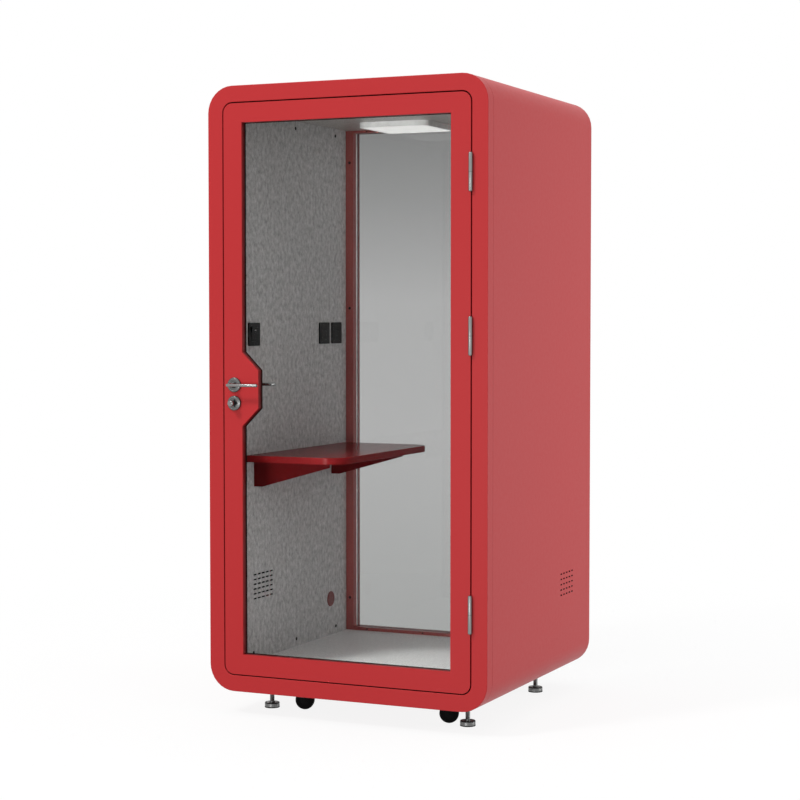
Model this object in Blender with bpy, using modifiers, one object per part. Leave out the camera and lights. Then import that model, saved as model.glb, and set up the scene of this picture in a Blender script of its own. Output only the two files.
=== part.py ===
"""Office phone booth: one person, glazed door, wall desk, feet and casters.

Run with: blender --background --python part.py
Lengths are metres. +Z is up, -Y is the side with the door.
Drawing coordinates are x from the middle, y back from the door's face
and z up from the underside of the shell. TO_WORLD moves them into place.
"""
import math

import bmesh
import bpy
from mathutils import Matrix, Vector

for old in list(bpy.data.objects):
    bpy.data.objects.remove(old, do_unlink=True)

# Whole booth
WIDTH = 1.100
DEPTH = 1.085
SHELL_HEIGHT = 2.210
GROUND_GAP = 0.090
CORNER_RADIUS = 0.098
CORNER_STEPS = 8
FIT = 0.0003
EDGE = 0.0012

# Sheet metal and the two frames
SHEET = 0.0025
SHELL_SHEET = 0.002
FRAME_FACE = 0.0595
FRONT_FRAME_DEPTH = 0.050
REAR_FRAME_DEPTH = 0.040
JOGGLE = 0.015
STOP_WIDTH = 0.018

# Door
DOOR_GAP = 0.0045
DOOR_THICKNESS = 0.050
DOOR_PLATE = 0.002
DOOR_RAIL = 0.0745
DOOR_HEAD = 0.070
GLASS_RECESS = 0.028
DOOR_GLASS = 0.006
GLASS_BITE = 0.018
INNER_REVEAL = 0.012
SEAL_THICKNESS = 0.0035
SEAL_WIDTH = 0.008

# Lock, with the bulge of the door frame that holds it
LOCK_Z = 1.110
LEVER_RISE = 0.0157
LOCK_BULGE = 0.066
LOCK_BULGE_HALF = 0.1345
BACKSET = 0.043
CYLINDER_DROP = 0.0665
ROSE_RADIUS = 0.027
ROSE_THICKNESS = 0.008
LEVER_REACH = 0.045
LEVER_RADIUS = 0.00575
LEVER_LENGTH = 0.117
LEVER_HEEL = 0.009
LEVER_NECK = 0.0085
LEVER_COLLAR = 0.0115
SPINDLE = 0.008
SPINDLE_PLAY = 0.00015
KNOB_RADIUS = 0.0115
KNOB_THICKNESS = 0.011
KNOB_REACH = 0.036
KNOB_STEM = 0.005
CASE_WIDTH = 0.084
CASE_HEIGHT = 0.165
CASE_THICKNESS = 0.016
BOLT_THICKNESS = 0.010
LATCH_HEIGHT = 0.016
LATCH_NOSE = 0.0025
LATCH_TRAVEL = 0.012
LATCH_LENGTH = 0.018
DEADBOLT_HEIGHT = 0.024
DEADBOLT_LENGTH = 0.024
INNER_PLATE_THICKNESS = 0.006
STRIKE_HALF_HEIGHT = 0.085
STRIKE_WIDTH = 0.022

# Hinges, with their barrels in front of the gap
HINGE_RADIUS = 0.0073
HINGE_LENGTH = 0.134
HINGE_LOW = 0.343
HINGE_MIDDLE = 1.308
HINGE_TOP_DROP = 0.3395
HINGE_PIN = 0.003
HINGE_PIN_LENGTH = 0.040
HINGE_LEAF = 0.0012
HINGE_LEAF_DEPTH = 0.036
HINGE_SPLIT = 0.0006

# Linings
WALL_INSET = 0.066
FELT = 0.010
FLOOR_TOP = 0.077
FLOOR_COVERING = 0.0077
CEILING_DROP = 0.0757
CEILING_THICKNESS = 0.010

# Glazed rear wall
REAR_RECESS = 0.079
POST_DEPTH = 0.064
POST_FACE = 0.0335
TOP_RAIL_FACE = 0.011
LOW_RAIL_FACE = 0.0135
TRIM_SHEET = 0.002
REAR_GLASS = 0.008
REAR_GLASS_BITE = 0.008

# Air vents: columns, rows, column pitch, row pitch, slot length, slot height
INNER_VENT = (5, 6, 0.032, 0.0182, 0.0238, 0.006)
OUTER_VENT = (5, 5, 0.0304, 0.0201, 0.016, 0.0060)
INNER_VENT_Y = 0.2885
OUTER_VENT_FROM_BACK = 0.2707
VENT_Z = 0.355
DUCT_HALF_HEIGHT = 0.070
DUCT_END = 0.085

# Fan behind the left inner vent
FAN_SIZE = 0.120
FAN_DEPTH = 0.025
FAN_BORE = 0.056
FAN_TIP_PLAY = 0.0012
FAN_HUB = 0.019
FAN_BLADES = 7
FAN_STRUT = 0.007

# Desk
DESK_TOP_Z = 0.8565
DESK_THICKNESS = 0.025
DESK_REACH = 0.3935
DESK_FRONT_Y = 0.1545
DESK_REAR_GAP = 0.021
DESK_CORNER = 0.080
BRACKET_FRONT_INSET = 0.0625
BRACKET_REAR_INSET = 0.117
BRACKET_SHEET = 0.004
BRACKET_HEIGHT = 0.096
BRACKET_LENGTH = 0.3187
BRACKET_TIP = 0.016
BRACKET_FOOT = 0.035
BRACKET_FLANGE = 0.028

# Wall fittings
PLATE_SIZE = 0.086
PLATE_CORNER = 0.004
PIN_HOLE = (0.007, 0.002)
PIN_SPREAD = 0.008
PIN_PAIR_Z = (0.014, -0.016)
EARTH_PIN_Z = -0.006
PLATE_THICKNESS = 0.006
PLATE_Z = 1.3075
BOX_SIZE = 0.062
BOX_DEPTH = 0.030
SOCKETS_FROM_REAR = (0.205, 0.095)
SWITCH_Y = 0.216
ROCKER_SIZE = 0.054
ROCKER_THICKNESS = 0.008
ROCKER_PROUD = 0.0025
ROCKER_TILT = math.radians(4)
CABLE_FROM_REAR = 0.1457
CABLE_Z = 0.2243
CABLE_RADIUS = 0.031
CABLE_COVER_THICKNESS = 0.003
CABLE_BOSS = 0.022

# Ceiling light
LIGHT_SIZE = 0.297
LIGHT_CORNER = 0.035
LIGHT_DROP = 0.0203
LIGHT_RIM = 0.010
LIGHT_FROM_WALL = 0.3438
LIGHT_FROM_REAR = 0.1515
DIFFUSER_THICKNESS = 0.004
DIFFUSER_RECESS = 0.001

# Base, feet and casters
BASE_SIDE_GAP = 0.100
BASE_FLANGE = 0.030
BASE_WALL = 0.003
BASE_HEIGHT = 0.0447
BEAM_WIDTH = 0.090
BOSS_RADIUS = 0.015
FOOT_FROM_SIDE = 0.153
FOOT_FROM_FRONT = 0.196
FOOT_FROM_BACK = 0.199
FOOT_RADIUS = 0.0275
FOOT_PAD = 0.0195
FOOT_STEM = 0.0082
FOOT_INSERT = 0.036
CASTER_FROM_SIDE = 0.2585
CASTER_FROM_FRONT = 0.187
CASTER_FROM_BACK = 0.188
CASTER_LIFT = 0.004
CASTER_SWIVEL = (math.radians(20), math.radians(200))
WHEEL_RADIUS = 0.035
WHEEL_WIDTH = 0.036
WHEEL_ROUND = 0.009
WHEEL_PLAY = 0.0015
WHEEL_HEADROOM = 0.008
TRAIL = 0.034
FORK_SHEET = 0.003
AXLE = 0.004
AXLE_PLAY = 0.0003
KING_PIN = 0.006
KING_PIN_LENGTH = 0.030
FORK_DISC = 0.021

# Sizes that follow from the ones above
HALF_WIDTH = WIDTH / 2
LEVER_Z = LOCK_Z + LEVER_RISE
HINGE_HEIGHTS = (HINGE_LOW, HINGE_MIDDLE, SHELL_HEIGHT - HINGE_TOP_DROP)
CEILING_Z = SHELL_HEIGHT - CEILING_DROP
REAR_WALL_Y = DEPTH - REAR_RECESS
OUTER_VENT_Y = DEPTH - OUTER_VENT_FROM_BACK
SHELL_STEP = SHELL_SHEET + FIT
STOP_Y = DOOR_THICKNESS + SEAL_THICKNESS + 2 * FIT
LINING_Y = STOP_Y + SHEET + FIT
DOOR_INSET = FRAME_FACE + DOOR_GAP
WINDOW_INSET = DOOR_INSET + DOOR_RAIL
WINDOW_TOP = SHELL_HEIGHT - DOOR_INSET - DOOR_HEAD
DOOR_SKIN_DEPTH = DOOR_THICKNESS - DOOR_PLATE - FIT
DOOR_EDGE_X = HALF_WIDTH - DOOR_INSET
JAMB_X = HALF_WIDTH - FRAME_FACE
SPINDLE_X = -DOOR_EDGE_X + BACKSET
CYLINDER_Z = LEVER_Z - CYLINDER_DROP
CASE_Y = DOOR_THICKNESS / 2 - CASE_THICKNESS / 2
BOLT_Y = DOOR_THICKNESS / 2
HINGE_X = HALF_WIDTH - FRAME_FACE - DOOR_GAP / 2
HINGE_Y = -HINGE_RADIUS - FIT
WALL_X = HALF_WIDTH - WALL_INSET
LINING_X = WALL_X + FELT
POST_BACK = REAR_WALL_Y + POST_DEPTH
POST_INSET = WALL_INSET + POST_FACE
REAR_GLASS_Y = REAR_WALL_Y + (POST_DEPTH - REAR_GLASS) / 2
CEILING_TOP = CEILING_Z + CEILING_THICKNESS
SHELL_FRONT = FRONT_FRAME_DEPTH + FIT
SHELL_BACK = DEPTH - REAR_FRAME_DEPTH - FIT
BASE_Z = SHELL_SHEET + FIT
BASE_TOP = BASE_Z + BASE_HEIGHT
BOARD_TOP = FLOOR_TOP - FLOOR_COVERING - FIT
DESK_BOTTOM = DESK_TOP_Z - DESK_THICKNESS
DESK_REAR_Y = REAR_WALL_Y - DESK_REAR_GAP
BRACKET_Y = (DESK_FRONT_Y + BRACKET_FRONT_INSET, DESK_REAR_Y - BRACKET_REAR_INSET)
SOCKET_Y = [REAR_WALL_Y - distance for distance in SOCKETS_FROM_REAR]
CABLE_Y = REAR_WALL_Y - CABLE_FROM_REAR
LIGHT_X = -WALL_X + LIGHT_FROM_WALL
LIGHT_Y = REAR_WALL_Y - LIGHT_FROM_REAR
BASE_HALF_WIDTH = HALF_WIDTH - BASE_SIDE_GAP
FOOT_X = HALF_WIDTH - FOOT_FROM_SIDE
FOOT_Y = (FOOT_FROM_FRONT, DEPTH - FOOT_FROM_BACK)
CASTER_X = HALF_WIDTH - CASTER_FROM_SIDE
CASTER_Y = (CASTER_FROM_FRONT, DEPTH - CASTER_FROM_BACK)
BEAM_Y = [(foot + caster) / 2 for foot, caster in zip(FOOT_Y, CASTER_Y)]
FRONT_Y = -(DEPTH - LEVER_REACH - LEVER_RADIUS) / 2
WHEEL_Z = WHEEL_RADIUS + CASTER_LIFT - GROUND_GAP
FORK_TOP = WHEEL_Z + WHEEL_RADIUS + WHEEL_HEADROOM
SIDES = (("left", -1), ("right", 1))
ENDS = (("front", 0), ("rear", 1))

parts = bpy.data.collections.new("office_phone_booth")
cutters = bpy.data.collections.new("cutters")
bpy.context.scene.collection.children.link(parts)
bpy.context.scene.collection.children.link(cutters)
TO_WORLD = Vector((0, FRONT_Y, GROUND_GAP))


def material(name, colour, roughness, metallic=0.0):
    """A plain Principled material."""
    made = bpy.data.materials.new(name)
    made.use_nodes = True
    shader = made.node_tree.nodes["Principled BSDF"]
    shader.inputs["Base Color"].default_value = (*colour, 1)
    shader.inputs["Roughness"].default_value = roughness
    shader.inputs["Metallic"].default_value = metallic
    return made


RED = ((0.49, 0.035, 0.04), 0.42, 0.0)
DARK_RED = ((0.40, 0.019, 0.022), 0.34, 0.0)
FELT_GREY = ((0.25, 0.24, 0.235), 0.95, 0.0)
STEEL = ((0.56, 0.57, 0.56), 0.32, 1.0)
ZINC = ((0.42, 0.43, 0.44), 0.45, 1.0)
BLACK = ((0.012, 0.012, 0.013), 0.45, 0.0)
RUBBER = ((0.02, 0.02, 0.02), 0.8, 0.0)
GLASS = ((0.72, 0.76, 0.76), 0.05, 0.0)
FLOOR_GREY = ((0.42, 0.42, 0.41), 0.55, 0.0)
CEILING_GREY = ((0.22, 0.2, 0.18), 0.4, 0.0)
WHITE = ((0.85, 0.85, 0.85), 0.4, 0.0)
WOOD = ((0.45, 0.32, 0.2), 0.7, 0.0)


def weld(mesh, distance=1e-6):
    """Joins points that meet and turns all faces outwards."""
    shape = bmesh.new()
    shape.from_mesh(mesh)
    bmesh.ops.remove_doubles(shape, verts=shape.verts, dist=distance)
    bmesh.ops.recalc_face_normals(shape, faces=shape.faces)
    shape.to_mesh(mesh)
    shape.free()


def keep(name, mesh, finish=None):
    """Makes an object of a mesh: a part with a finish, or else a cutter."""
    made = bpy.data.objects.new(name, mesh)
    if finish is None:
        cutters.objects.link(made)
        made.hide_render = True
        made.display_type = 'WIRE'
        made.location = TO_WORLD
        return made
    parts.objects.link(made)
    mesh.materials.append(material(name, *finish))
    made.location = TO_WORLD
    return made


def smooth(made, limit=math.radians(35)):
    """Shades round faces smooth and leaves the sharp edges sharp."""
    shape = bmesh.new()
    shape.from_mesh(made.data)
    for face in shape.faces:
        face.smooth = True
    for edge in shape.edges:
        edge.smooth = edge.calc_face_angle(math.pi) < limit
    shape.to_mesh(made.data)
    shape.free()
    return made


def boxes(name, corners, finish=None):
    """One mesh of upright boxes, each given by its low and high corner."""
    shape = bmesh.new()
    for low, high in corners:
        low, high = Vector(low), Vector(high)
        size = Matrix.Diagonal((*(high - low), 1))
        bmesh.ops.create_cube(shape, size=1, matrix=Matrix.Translation((low + high) / 2) @ size)
    mesh = bpy.data.meshes.new(name)
    shape.to_mesh(mesh)
    shape.free()
    return keep(name, mesh, finish)


def box(name, low, high, finish=None):
    """One upright box."""
    return boxes(name, [(low, high)], finish)


# How the outline's two directions and its thickness lie, for each axis of thickness
LIE = {
    "X": Matrix(((0, 0, 1), (1, 0, 0), (0, 1, 0))),
    "Y": Matrix(((1, 0, 0), (0, 0, -1), (0, 1, 0))),
    "Z": Matrix(((1, 0, 0), (0, 1, 0), (0, 0, 1))),
}


def filled(outlines, thickness):
    """Mesh of a flat outline with holes, filled and thickened both ways."""
    curve = bpy.data.curves.new("outline", 'CURVE')
    curve.dimensions = '2D'
    curve.fill_mode = 'BOTH'
    curve.extrude = thickness / 2
    for points in outlines:
        spline = curve.splines.new('POLY')
        spline.points.add(len(points) - 1)
        for point, (u, v) in zip(spline.points, points):
            point.co = (u, v, 0, 1)
        spline.use_cyclic_u = True
    drawn = bpy.data.objects.new("outline", curve)
    cutters.objects.link(drawn)
    bpy.context.view_layer.update()
    mesh = bpy.data.meshes.new_from_object(drawn.evaluated_get(bpy.context.evaluated_depsgraph_get()))
    bpy.data.objects.remove(drawn, do_unlink=True)
    bpy.data.curves.remove(curve)
    mesh.materials.clear()
    return mesh


def slab(name, outlines, axis, low, high, finish=None):
    """A flat outline with holes, thickened between two levels of an axis."""
    mesh = filled(outlines, high - low)
    middle = Vector([(low + high) / 2 if letter == axis else 0 for letter in "XYZ"])
    mesh.transform(Matrix.Translation(middle) @ LIE[axis].to_4x4())
    mesh.name = name
    weld(mesh)
    return smooth(keep(name, mesh, finish))


def turned(name, profile, centre, axis, finish=None, steps=24):
    """A profile of radius and height, turned about an axis with a Screw modifier."""
    mesh = bpy.data.meshes.new(name)
    closed = profile[0] == profile[-1]
    points = profile[1:] if closed else profile
    edges = [(i + 1, i) for i in range(len(points) - 1)]
    if closed:
        edges.append((0, len(points) - 1))
    mesh.from_pydata([(radius, 0, height) for radius, height in points], edges, [])
    made = keep(name, mesh, finish)
    made.location = TO_WORLD + Vector(centre)
    made.rotation_euler = Vector((0, 0, 1)).rotation_difference(Vector(axis)).to_euler()
    screw = made.modifiers.new("Turn", 'SCREW')
    screw.angle = math.tau
    screw.steps = steps
    screw.render_steps = steps
    screw.use_merge_vertices = True
    screw.merge_threshold = 1e-6
    screw.use_smooth_shade = True
    return made


def rod(name, start, end, radius, finish=None, steps=16):
    """A plain round bar or hole between two points."""
    start, end = Vector(start), Vector(end)
    length = (end - start).length
    profile = [(0, 0), (radius, 0), (radius, length), (0, length)]
    return turned(name, profile, start, end - start, finish, steps)


def combine(made, other, operation):
    """Adds an exact boolean with a cutter object."""
    step = made.modifiers.new(other.name, 'BOOLEAN')
    step.operation = operation
    step.solver = 'EXACT'
    step.object = other
    return made


def cut(made, *tools):
    """Takes the tools away from a part."""
    for tool in tools:
        combine(made, tool, 'DIFFERENCE')
    return made


def add(made, *tools):
    """Joins the tools to a part."""
    for tool in tools:
        combine(made, tool, 'UNION')
    return made


def hang_on(made, point):
    """Puts the origin of a moving piece on its joint's axis."""
    target = TO_WORLD + Vector(point)
    turn = made.rotation_euler.to_matrix().to_4x4()
    made.data.transform(turn.inverted() @ Matrix.Translation(made.location - target) @ turn)
    made.location = target
    return made


def carry(parent, names):
    """Hangs pieces on the piece or the axis that they move with."""
    for name in names:
        child = parts.objects[name]
        child.parent = parent
        child.matrix_parent_inverse = parent.matrix_basis.inverted()


def rounded(left, low, right, high, radii, steps=CORNER_STEPS):
    """A rectangle whose corners are rounded: low left, low right, high right, high left."""
    points = []
    corners = ((left, low, 180), (right, low, 270), (right, high, 0), (left, high, 90))
    for (x, z, start), radius in zip(corners, radii):
        if radius < 1e-6:
            points.append((x, z))
            continue
        u = x + math.copysign(radius, (left + right) / 2 - x)
        v = z + math.copysign(radius, (low + high) / 2 - z)
        for step in range(steps + 1):
            angle = math.radians(start + 90 * step / steps)
            points.append((u + radius * math.cos(angle), v + radius * math.sin(angle)))
    return points


def circle(x, z, radius, steps=16):
    """A round outline."""
    turns = [math.tau * step / steps for step in range(steps)]
    return [(x + radius * math.cos(turn), z + radius * math.sin(turn)) for turn in turns]


def outline(inset):
    """The booth's rounded outline, seen from the front, moved inwards."""
    radius = max(CORNER_RADIUS - inset, 0)
    return rounded(-HALF_WIDTH + inset, inset, HALF_WIDTH - inset, SHELL_HEIGHT - inset, [radius] * 4)


def grown(points, distance):
    """A closed outline that runs anticlockwise, with each side moved outwards."""
    moved = []
    for before, here, after in zip(points[-1:] + points[:-1], points, points[1:] + points[:1]):
        normals = []
        for a, b in ((before, here), (here, after)):
            side = Vector((b[1] - a[1], a[0] - b[0]))
            normals.append(side.normalized())
        shift = (normals[0] + normals[1]) * distance / (1 + normals[0].dot(normals[1]))
        moved.append((here[0] + shift.x, here[1] + shift.y))
    return moved


def window(grow=0.0):
    """The door's window, with the bulge for the lock on its left side."""
    x, low, high = HALF_WIDTH - WINDOW_INSET, WINDOW_INSET, WINDOW_TOP
    inner = LOCK_BULGE_HALF - LOCK_BULGE
    points = [(-x, low), (x, low), (x, high), (-x, high), (-x, LOCK_Z + LOCK_BULGE_HALF),
              (-x + LOCK_BULGE, LOCK_Z + inner), (-x + LOCK_BULGE, LOCK_Z - inner),
              (-x, LOCK_Z - LOCK_BULGE_HALF)]
    return grown(points, grow)


def belt(shape, loops):
    """Adds the faces that join each loop of points to the next one."""
    rows = [[shape.verts.new(point) for point in loop] for loop in loops]
    for near, far in zip(rows, rows[1:]):
        for j, corner in enumerate(near):
            k = (j + 1) % len(near)
            shape.faces.new((corner, near[k], far[k], far[j]))


def finished(name, shape, finish):
    """Turns a bmesh into a welded part with smooth round faces."""
    mesh = bpy.data.meshes.new(name)
    shape.to_mesh(mesh)
    shape.free()
    weld(mesh)
    return smooth(keep(name, mesh, finish))


def ring(name, section, finish):
    """A frame that follows the booth's outline, from a section of inset and y."""
    loops = [[(x, y, z) for x, z in outline(inset)] for inset, y in section]
    shape = bmesh.new()
    belt(shape, loops + loops[:1])
    return finished(name, shape, finish)


def folded(name, outer, inner, holes, finish):
    """A door skin: flanges on both rims, each a list of depth and y, with plates between."""
    shape = bmesh.new()
    levels = (outer[0][1], outer[-1][1])
    plates = [[], []]
    for line, steps in ((lambda depth: outline(DOOR_INSET + depth), outer), (window, inner)):
        loops = [[(x, y, z) for x, z in line(depth)] for depth, y in steps]
        belt(shape, loops)
        plates[0].append(line(steps[0][0]))
        plates[1].append(line(steps[-1][0]))
    for hole in holes:
        belt(shape, [[(x, y, z) for x, z in hole] for y in levels])
    for outlines, y in zip(plates, levels):
        plate = filled(outlines + holes, 0)
        plate.transform(Matrix.Translation((0, y, 0)) @ LIE["Y"].to_4x4())
        shape.from_mesh(plate)
    return finished(name, shape, finish)


def frame_section(face_y, inwards, depth, stop_y):
    """Section of a frame: face, jamb with its stop lip, and the step under the shell."""
    step, inner = SHELL_STEP, SHELL_STEP + SHEET
    lip = FRAME_FACE + STOP_WIDTH
    back = face_y + inwards * depth
    sheet = inwards * SHEET
    edge = inwards * EDGE
    return [(EDGE, face_y), (FRAME_FACE - EDGE, face_y), (FRAME_FACE, face_y + edge),
            (FRAME_FACE, stop_y), (lip, stop_y), (lip, stop_y + sheet),
            (FRAME_FACE - SHEET, stop_y + sheet), (FRAME_FACE - SHEET, face_y + sheet),
            (SHEET, face_y + sheet), (SHEET, back - sheet), (inner, back - sheet),
            (inner, back + inwards * JOGGLE), (step, back + inwards * JOGGLE), (step, back),
            (0, back), (0, face_y + edge)]


def slots(name, x_low, x_high, y, z, pattern):
    """Cutter with a grid of vent slots."""
    columns, rows, pitch_y, pitch_z, length, height = pattern
    grid = []
    for column in range(columns):
        for row in range(rows):
            v = y + (column - (columns - 1) / 2) * pitch_y
            w = z + (row - (rows - 1) / 2) * pitch_z
            grid.append(((x_low, v - length / 2, w - height / 2), (x_high, v + length / 2, w + height / 2)))
    return boxes(name, grid)


def side_span(side, near, far):
    """Lowest and highest x of a layer, given by its distances from the middle."""
    return tuple(sorted((side * near, side * far)))


def under_holes(name, low, high, play):
    """Cutters for the stems of the feet and casters."""
    holes = []
    for end in range(2):
        for side in (-1, 1):
            for x, y, radius in ((FOOT_X, FOOT_Y[end], FOOT_STEM), (CASTER_X, CASTER_Y[end], KING_PIN)):
                start = (side * x, y, low)
                tag = f"{name}_{len(holes)}"
                holes.append(rod(tag, start, (side * x, y, high), radius + play))
    return holes


def make_frames():
    """The door surround with its strike, and the rear surround."""
    front = ring("front_frame", frame_section(0, 1, FRONT_FRAME_DEPTH, STOP_Y), RED)
    low = (-JAMB_X - SHEET * 2, BOLT_Y - STRIKE_WIDTH / 2, LOCK_Z - STRIKE_HALF_HEIGHT)
    high = (-JAMB_X + SHEET, BOLT_Y + STRIKE_WIDTH / 2, LOCK_Z + STRIKE_HALF_HEIGHT)
    cut(front, box("strike_seat", low, high))
    ring("rear_frame", frame_section(DEPTH, -1, REAR_FRAME_DEPTH, POST_BACK + FIT + SHEET), RED)
    plate = box("strike_plate", (-JAMB_X - SHEET, low[1] + FIT, low[2] + FIT),
                (-JAMB_X, high[1] - FIT, high[2] - FIT), STEEL)
    cut(plate, bolt_hole("strike_latch_hole", LEVER_Z, LATCH_HEIGHT, -JAMB_X - SHEET * 2, -JAMB_X + SHEET),
        bolt_hole("strike_bolt_hole", CYLINDER_Z, DEADBOLT_HEIGHT, -JAMB_X - SHEET * 2, -JAMB_X + SHEET))


def bolt_hole(name, z, height, low_x, high_x):
    """Cutter that leaves running room round a bolt."""
    room = 2 * FIT
    half, tall = BOLT_THICKNESS / 2 + room, height / 2 + room
    return box(name, (low_x, BOLT_Y - half, z - tall), (high_x, BOLT_Y + half, z + tall))


def make_shell():
    """Two half shells of sheet, joined along the middle of roof and floor."""
    for label, side in SIDES:
        inner = SHELL_SHEET
        radius = CORNER_RADIUS
        corners = ((HALF_WIDTH - radius, radius, -90), (HALF_WIDTH - radius, SHELL_HEIGHT - radius, 0))
        paths = []
        for depth in (0, inner):
            path = [(FIT / 2, depth)]
            for x, z, start in corners:
                for step in range(CORNER_STEPS + 1):
                    angle = math.radians(start + 90 * step / CORNER_STEPS)
                    reach = radius - depth
                    path.append((x + reach * math.cos(angle), z + reach * math.sin(angle)))
            path.append((FIT / 2, SHELL_HEIGHT - depth))
            paths.append(path)
        points = [(side * x, z) for x, z in paths[0] + paths[1][::-1]]
        shell = slab(f"shell_{label}", [points], "Y", SHELL_FRONT, SHELL_BACK, RED)
        x = side_span(side, HALF_WIDTH - 3 * SHELL_SHEET, HALF_WIDTH + SHELL_SHEET)
        cut(shell, slots(f"outer_vent_{label}", *x, OUTER_VENT_Y, VENT_Z, OUTER_VENT))
        for hole in under_holes(f"shell_hole_{label}", -SHELL_SHEET, 2 * SHELL_SHEET, 2 * FIT):
            if (hole.location.x > 0) == (side > 0):
                cut(shell, hole)


def wall_cutters(side, label, near, far, room):
    """Cutters for the back boxes and the cable boss in one side wall."""
    x = side_span(side, near, far)
    half = BOX_SIZE / 2 + room
    tools = []
    if side < 0:
        for k, y in enumerate((SWITCH_Y, *SOCKET_Y)):
            tools.append(box(f"{label}_box_hole_{k}", (x[0], y - half, PLATE_Z - half),
                             (x[1], y + half, PLATE_Z + half)))
        tools.append(rod(f"{label}_cable_hole", (x[0], CABLE_Y, CABLE_Z), (x[1], CABLE_Y, CABLE_Z),
                         CABLE_BOSS + room, steps=24))
    return tools


def make_linings():
    """Felt walls, ceiling, floor and the sound insulation behind them."""
    for label, side in SIDES:
        x = side_span(side, WALL_X, LINING_X)
        felt = box(f"felt_wall_{label}", (x[0], LINING_Y, BOARD_TOP + FIT),
                   (x[1], REAR_WALL_Y - FIT, CEILING_Z - FIT), FELT_GREY)
        reach = side_span(side, WALL_X - FELT, LINING_X + FELT)
        cut(felt, slots(f"inner_vent_{label}", *reach, INNER_VENT_Y, VENT_Z, INNER_VENT))
        cut(felt, *wall_cutters(side, f"felt_{label}", WALL_X - FELT, LINING_X + FELT, FIT))
    box("ceiling_panel", (-LINING_X, LINING_Y, CEILING_Z), (LINING_X, POST_BACK, CEILING_TOP), CEILING_GREY)
    half = WALL_X - FIT
    box("floor_covering", (-half, LINING_Y, BOARD_TOP + FIT), (half, REAR_WALL_Y - FIT, FLOOR_TOP),
        FLOOR_GREY)
    box("floor_board", (-LINING_X, LINING_Y, BASE_TOP + FIT), (LINING_X, POST_BACK, BOARD_TOP), WOOD)
    make_insulation()


def make_insulation():
    """An upside down U of sound insulation between shell and linings."""
    half, radius = HALF_WIDTH - SHELL_STEP, CORNER_RADIUS - SHELL_STEP
    outer = rounded(-half, CORNER_RADIUS, half, SHELL_HEIGHT - SHELL_STEP, [0, 0, radius, radius])
    inside, top = LINING_X + FIT, CEILING_TOP + FIT
    inner = [(-inside, CORNER_RADIUS), (-inside, top), (inside, top), (inside, CORNER_RADIUS)]
    wool = slab("insulation", [outer[:1] + inner + outer[1:]], "Y", SHELL_FRONT + JOGGLE,
                SHELL_BACK - JOGGLE, FELT_GREY)
    for label, side in SIDES:
        x = side_span(side, LINING_X - FELT, HALF_WIDTH + FELT)
        cut(wool, box(f"duct_{label}", (x[0], INNER_VENT_Y - DUCT_END, VENT_Z - DUCT_HALF_HEIGHT),
                      (x[1], OUTER_VENT_Y + DUCT_END, VENT_Z + DUCT_HALF_HEIGHT)))
        cut(wool, *wall_cutters(side, f"wool_{label}", LINING_X - FELT, HALF_WIDTH + FELT, FIT))


def post_section(near, far):
    """Section of a rear post in inset and y: an H with a groove for the glass."""
    front, back = REAR_WALL_Y, POST_BACK
    lip_front, lip_back = REAR_GLASS_Y - FIT, REAR_GLASS_Y + REAR_GLASS + FIT
    web = far - REAR_GLASS_BITE - FIT * 2
    sheet = TRIM_SHEET
    return [(near, front), (far, front), (far, lip_front), (far - sheet, lip_front),
            (far - sheet, front + sheet), (web, front + sheet), (web, back - sheet),
            (far - sheet, back - sheet), (far - sheet, lip_back), (far, lip_back), (far, back),
            (near, back), (near, back - sheet), (web - sheet, back - sheet),
            (web - sheet, front + sheet), (near, front + sheet)]


def rail_section(near, far):
    """Section of a rear rail in z and y: a trough that holds the glass."""
    front, back = REAR_WALL_Y, POST_BACK
    lip_front, lip_back = REAR_GLASS_Y - FIT, REAR_GLASS_Y + REAR_GLASS + FIT
    inwards = math.copysign(1, far - near)
    sheet = inwards * TRIM_SHEET
    web = far - inwards * (REAR_GLASS_BITE + 2 * FIT)
    return [(near, front), (far, front), (far, lip_front), (far - sheet, lip_front),
            (far - sheet, front + TRIM_SHEET), (web, front + TRIM_SHEET), (web, back - TRIM_SHEET),
            (far - sheet, back - TRIM_SHEET), (far - sheet, lip_back), (far, lip_back), (far, back),
            (near, back)]


def make_rear_wall():
    """Posts, rails and the fixed rear glass."""
    for label, side in SIDES:
        section = [(side * (HALF_WIDTH - inset), y)
                   for inset, y in post_section(HALF_WIDTH - LINING_X, POST_INSET)]
        slab(f"rear_post_{label}", [section], "Z", BOARD_TOP + FIT, CEILING_Z - FIT, DARK_RED)
    half = HALF_WIDTH - POST_INSET - FIT
    sill, head = FLOOR_TOP + LOW_RAIL_FACE, CEILING_Z - TOP_RAIL_FACE
    levels = (("bottom", BOARD_TOP + FIT, sill), ("top", CEILING_Z - FIT, head))
    for label, near, far in levels:
        section = [(y, z) for z, y in rail_section(near, far)]
        slab(f"rear_rail_{label}", [section], "X", -half, half, DARK_RED)
    bite = REAR_GLASS_BITE
    half = HALF_WIDTH - POST_INSET + bite
    box("rear_glass", (-half, REAR_GLASS_Y, sill - bite), (half, REAR_GLASS_Y + REAR_GLASS, head + bite),
        GLASS)


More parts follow.
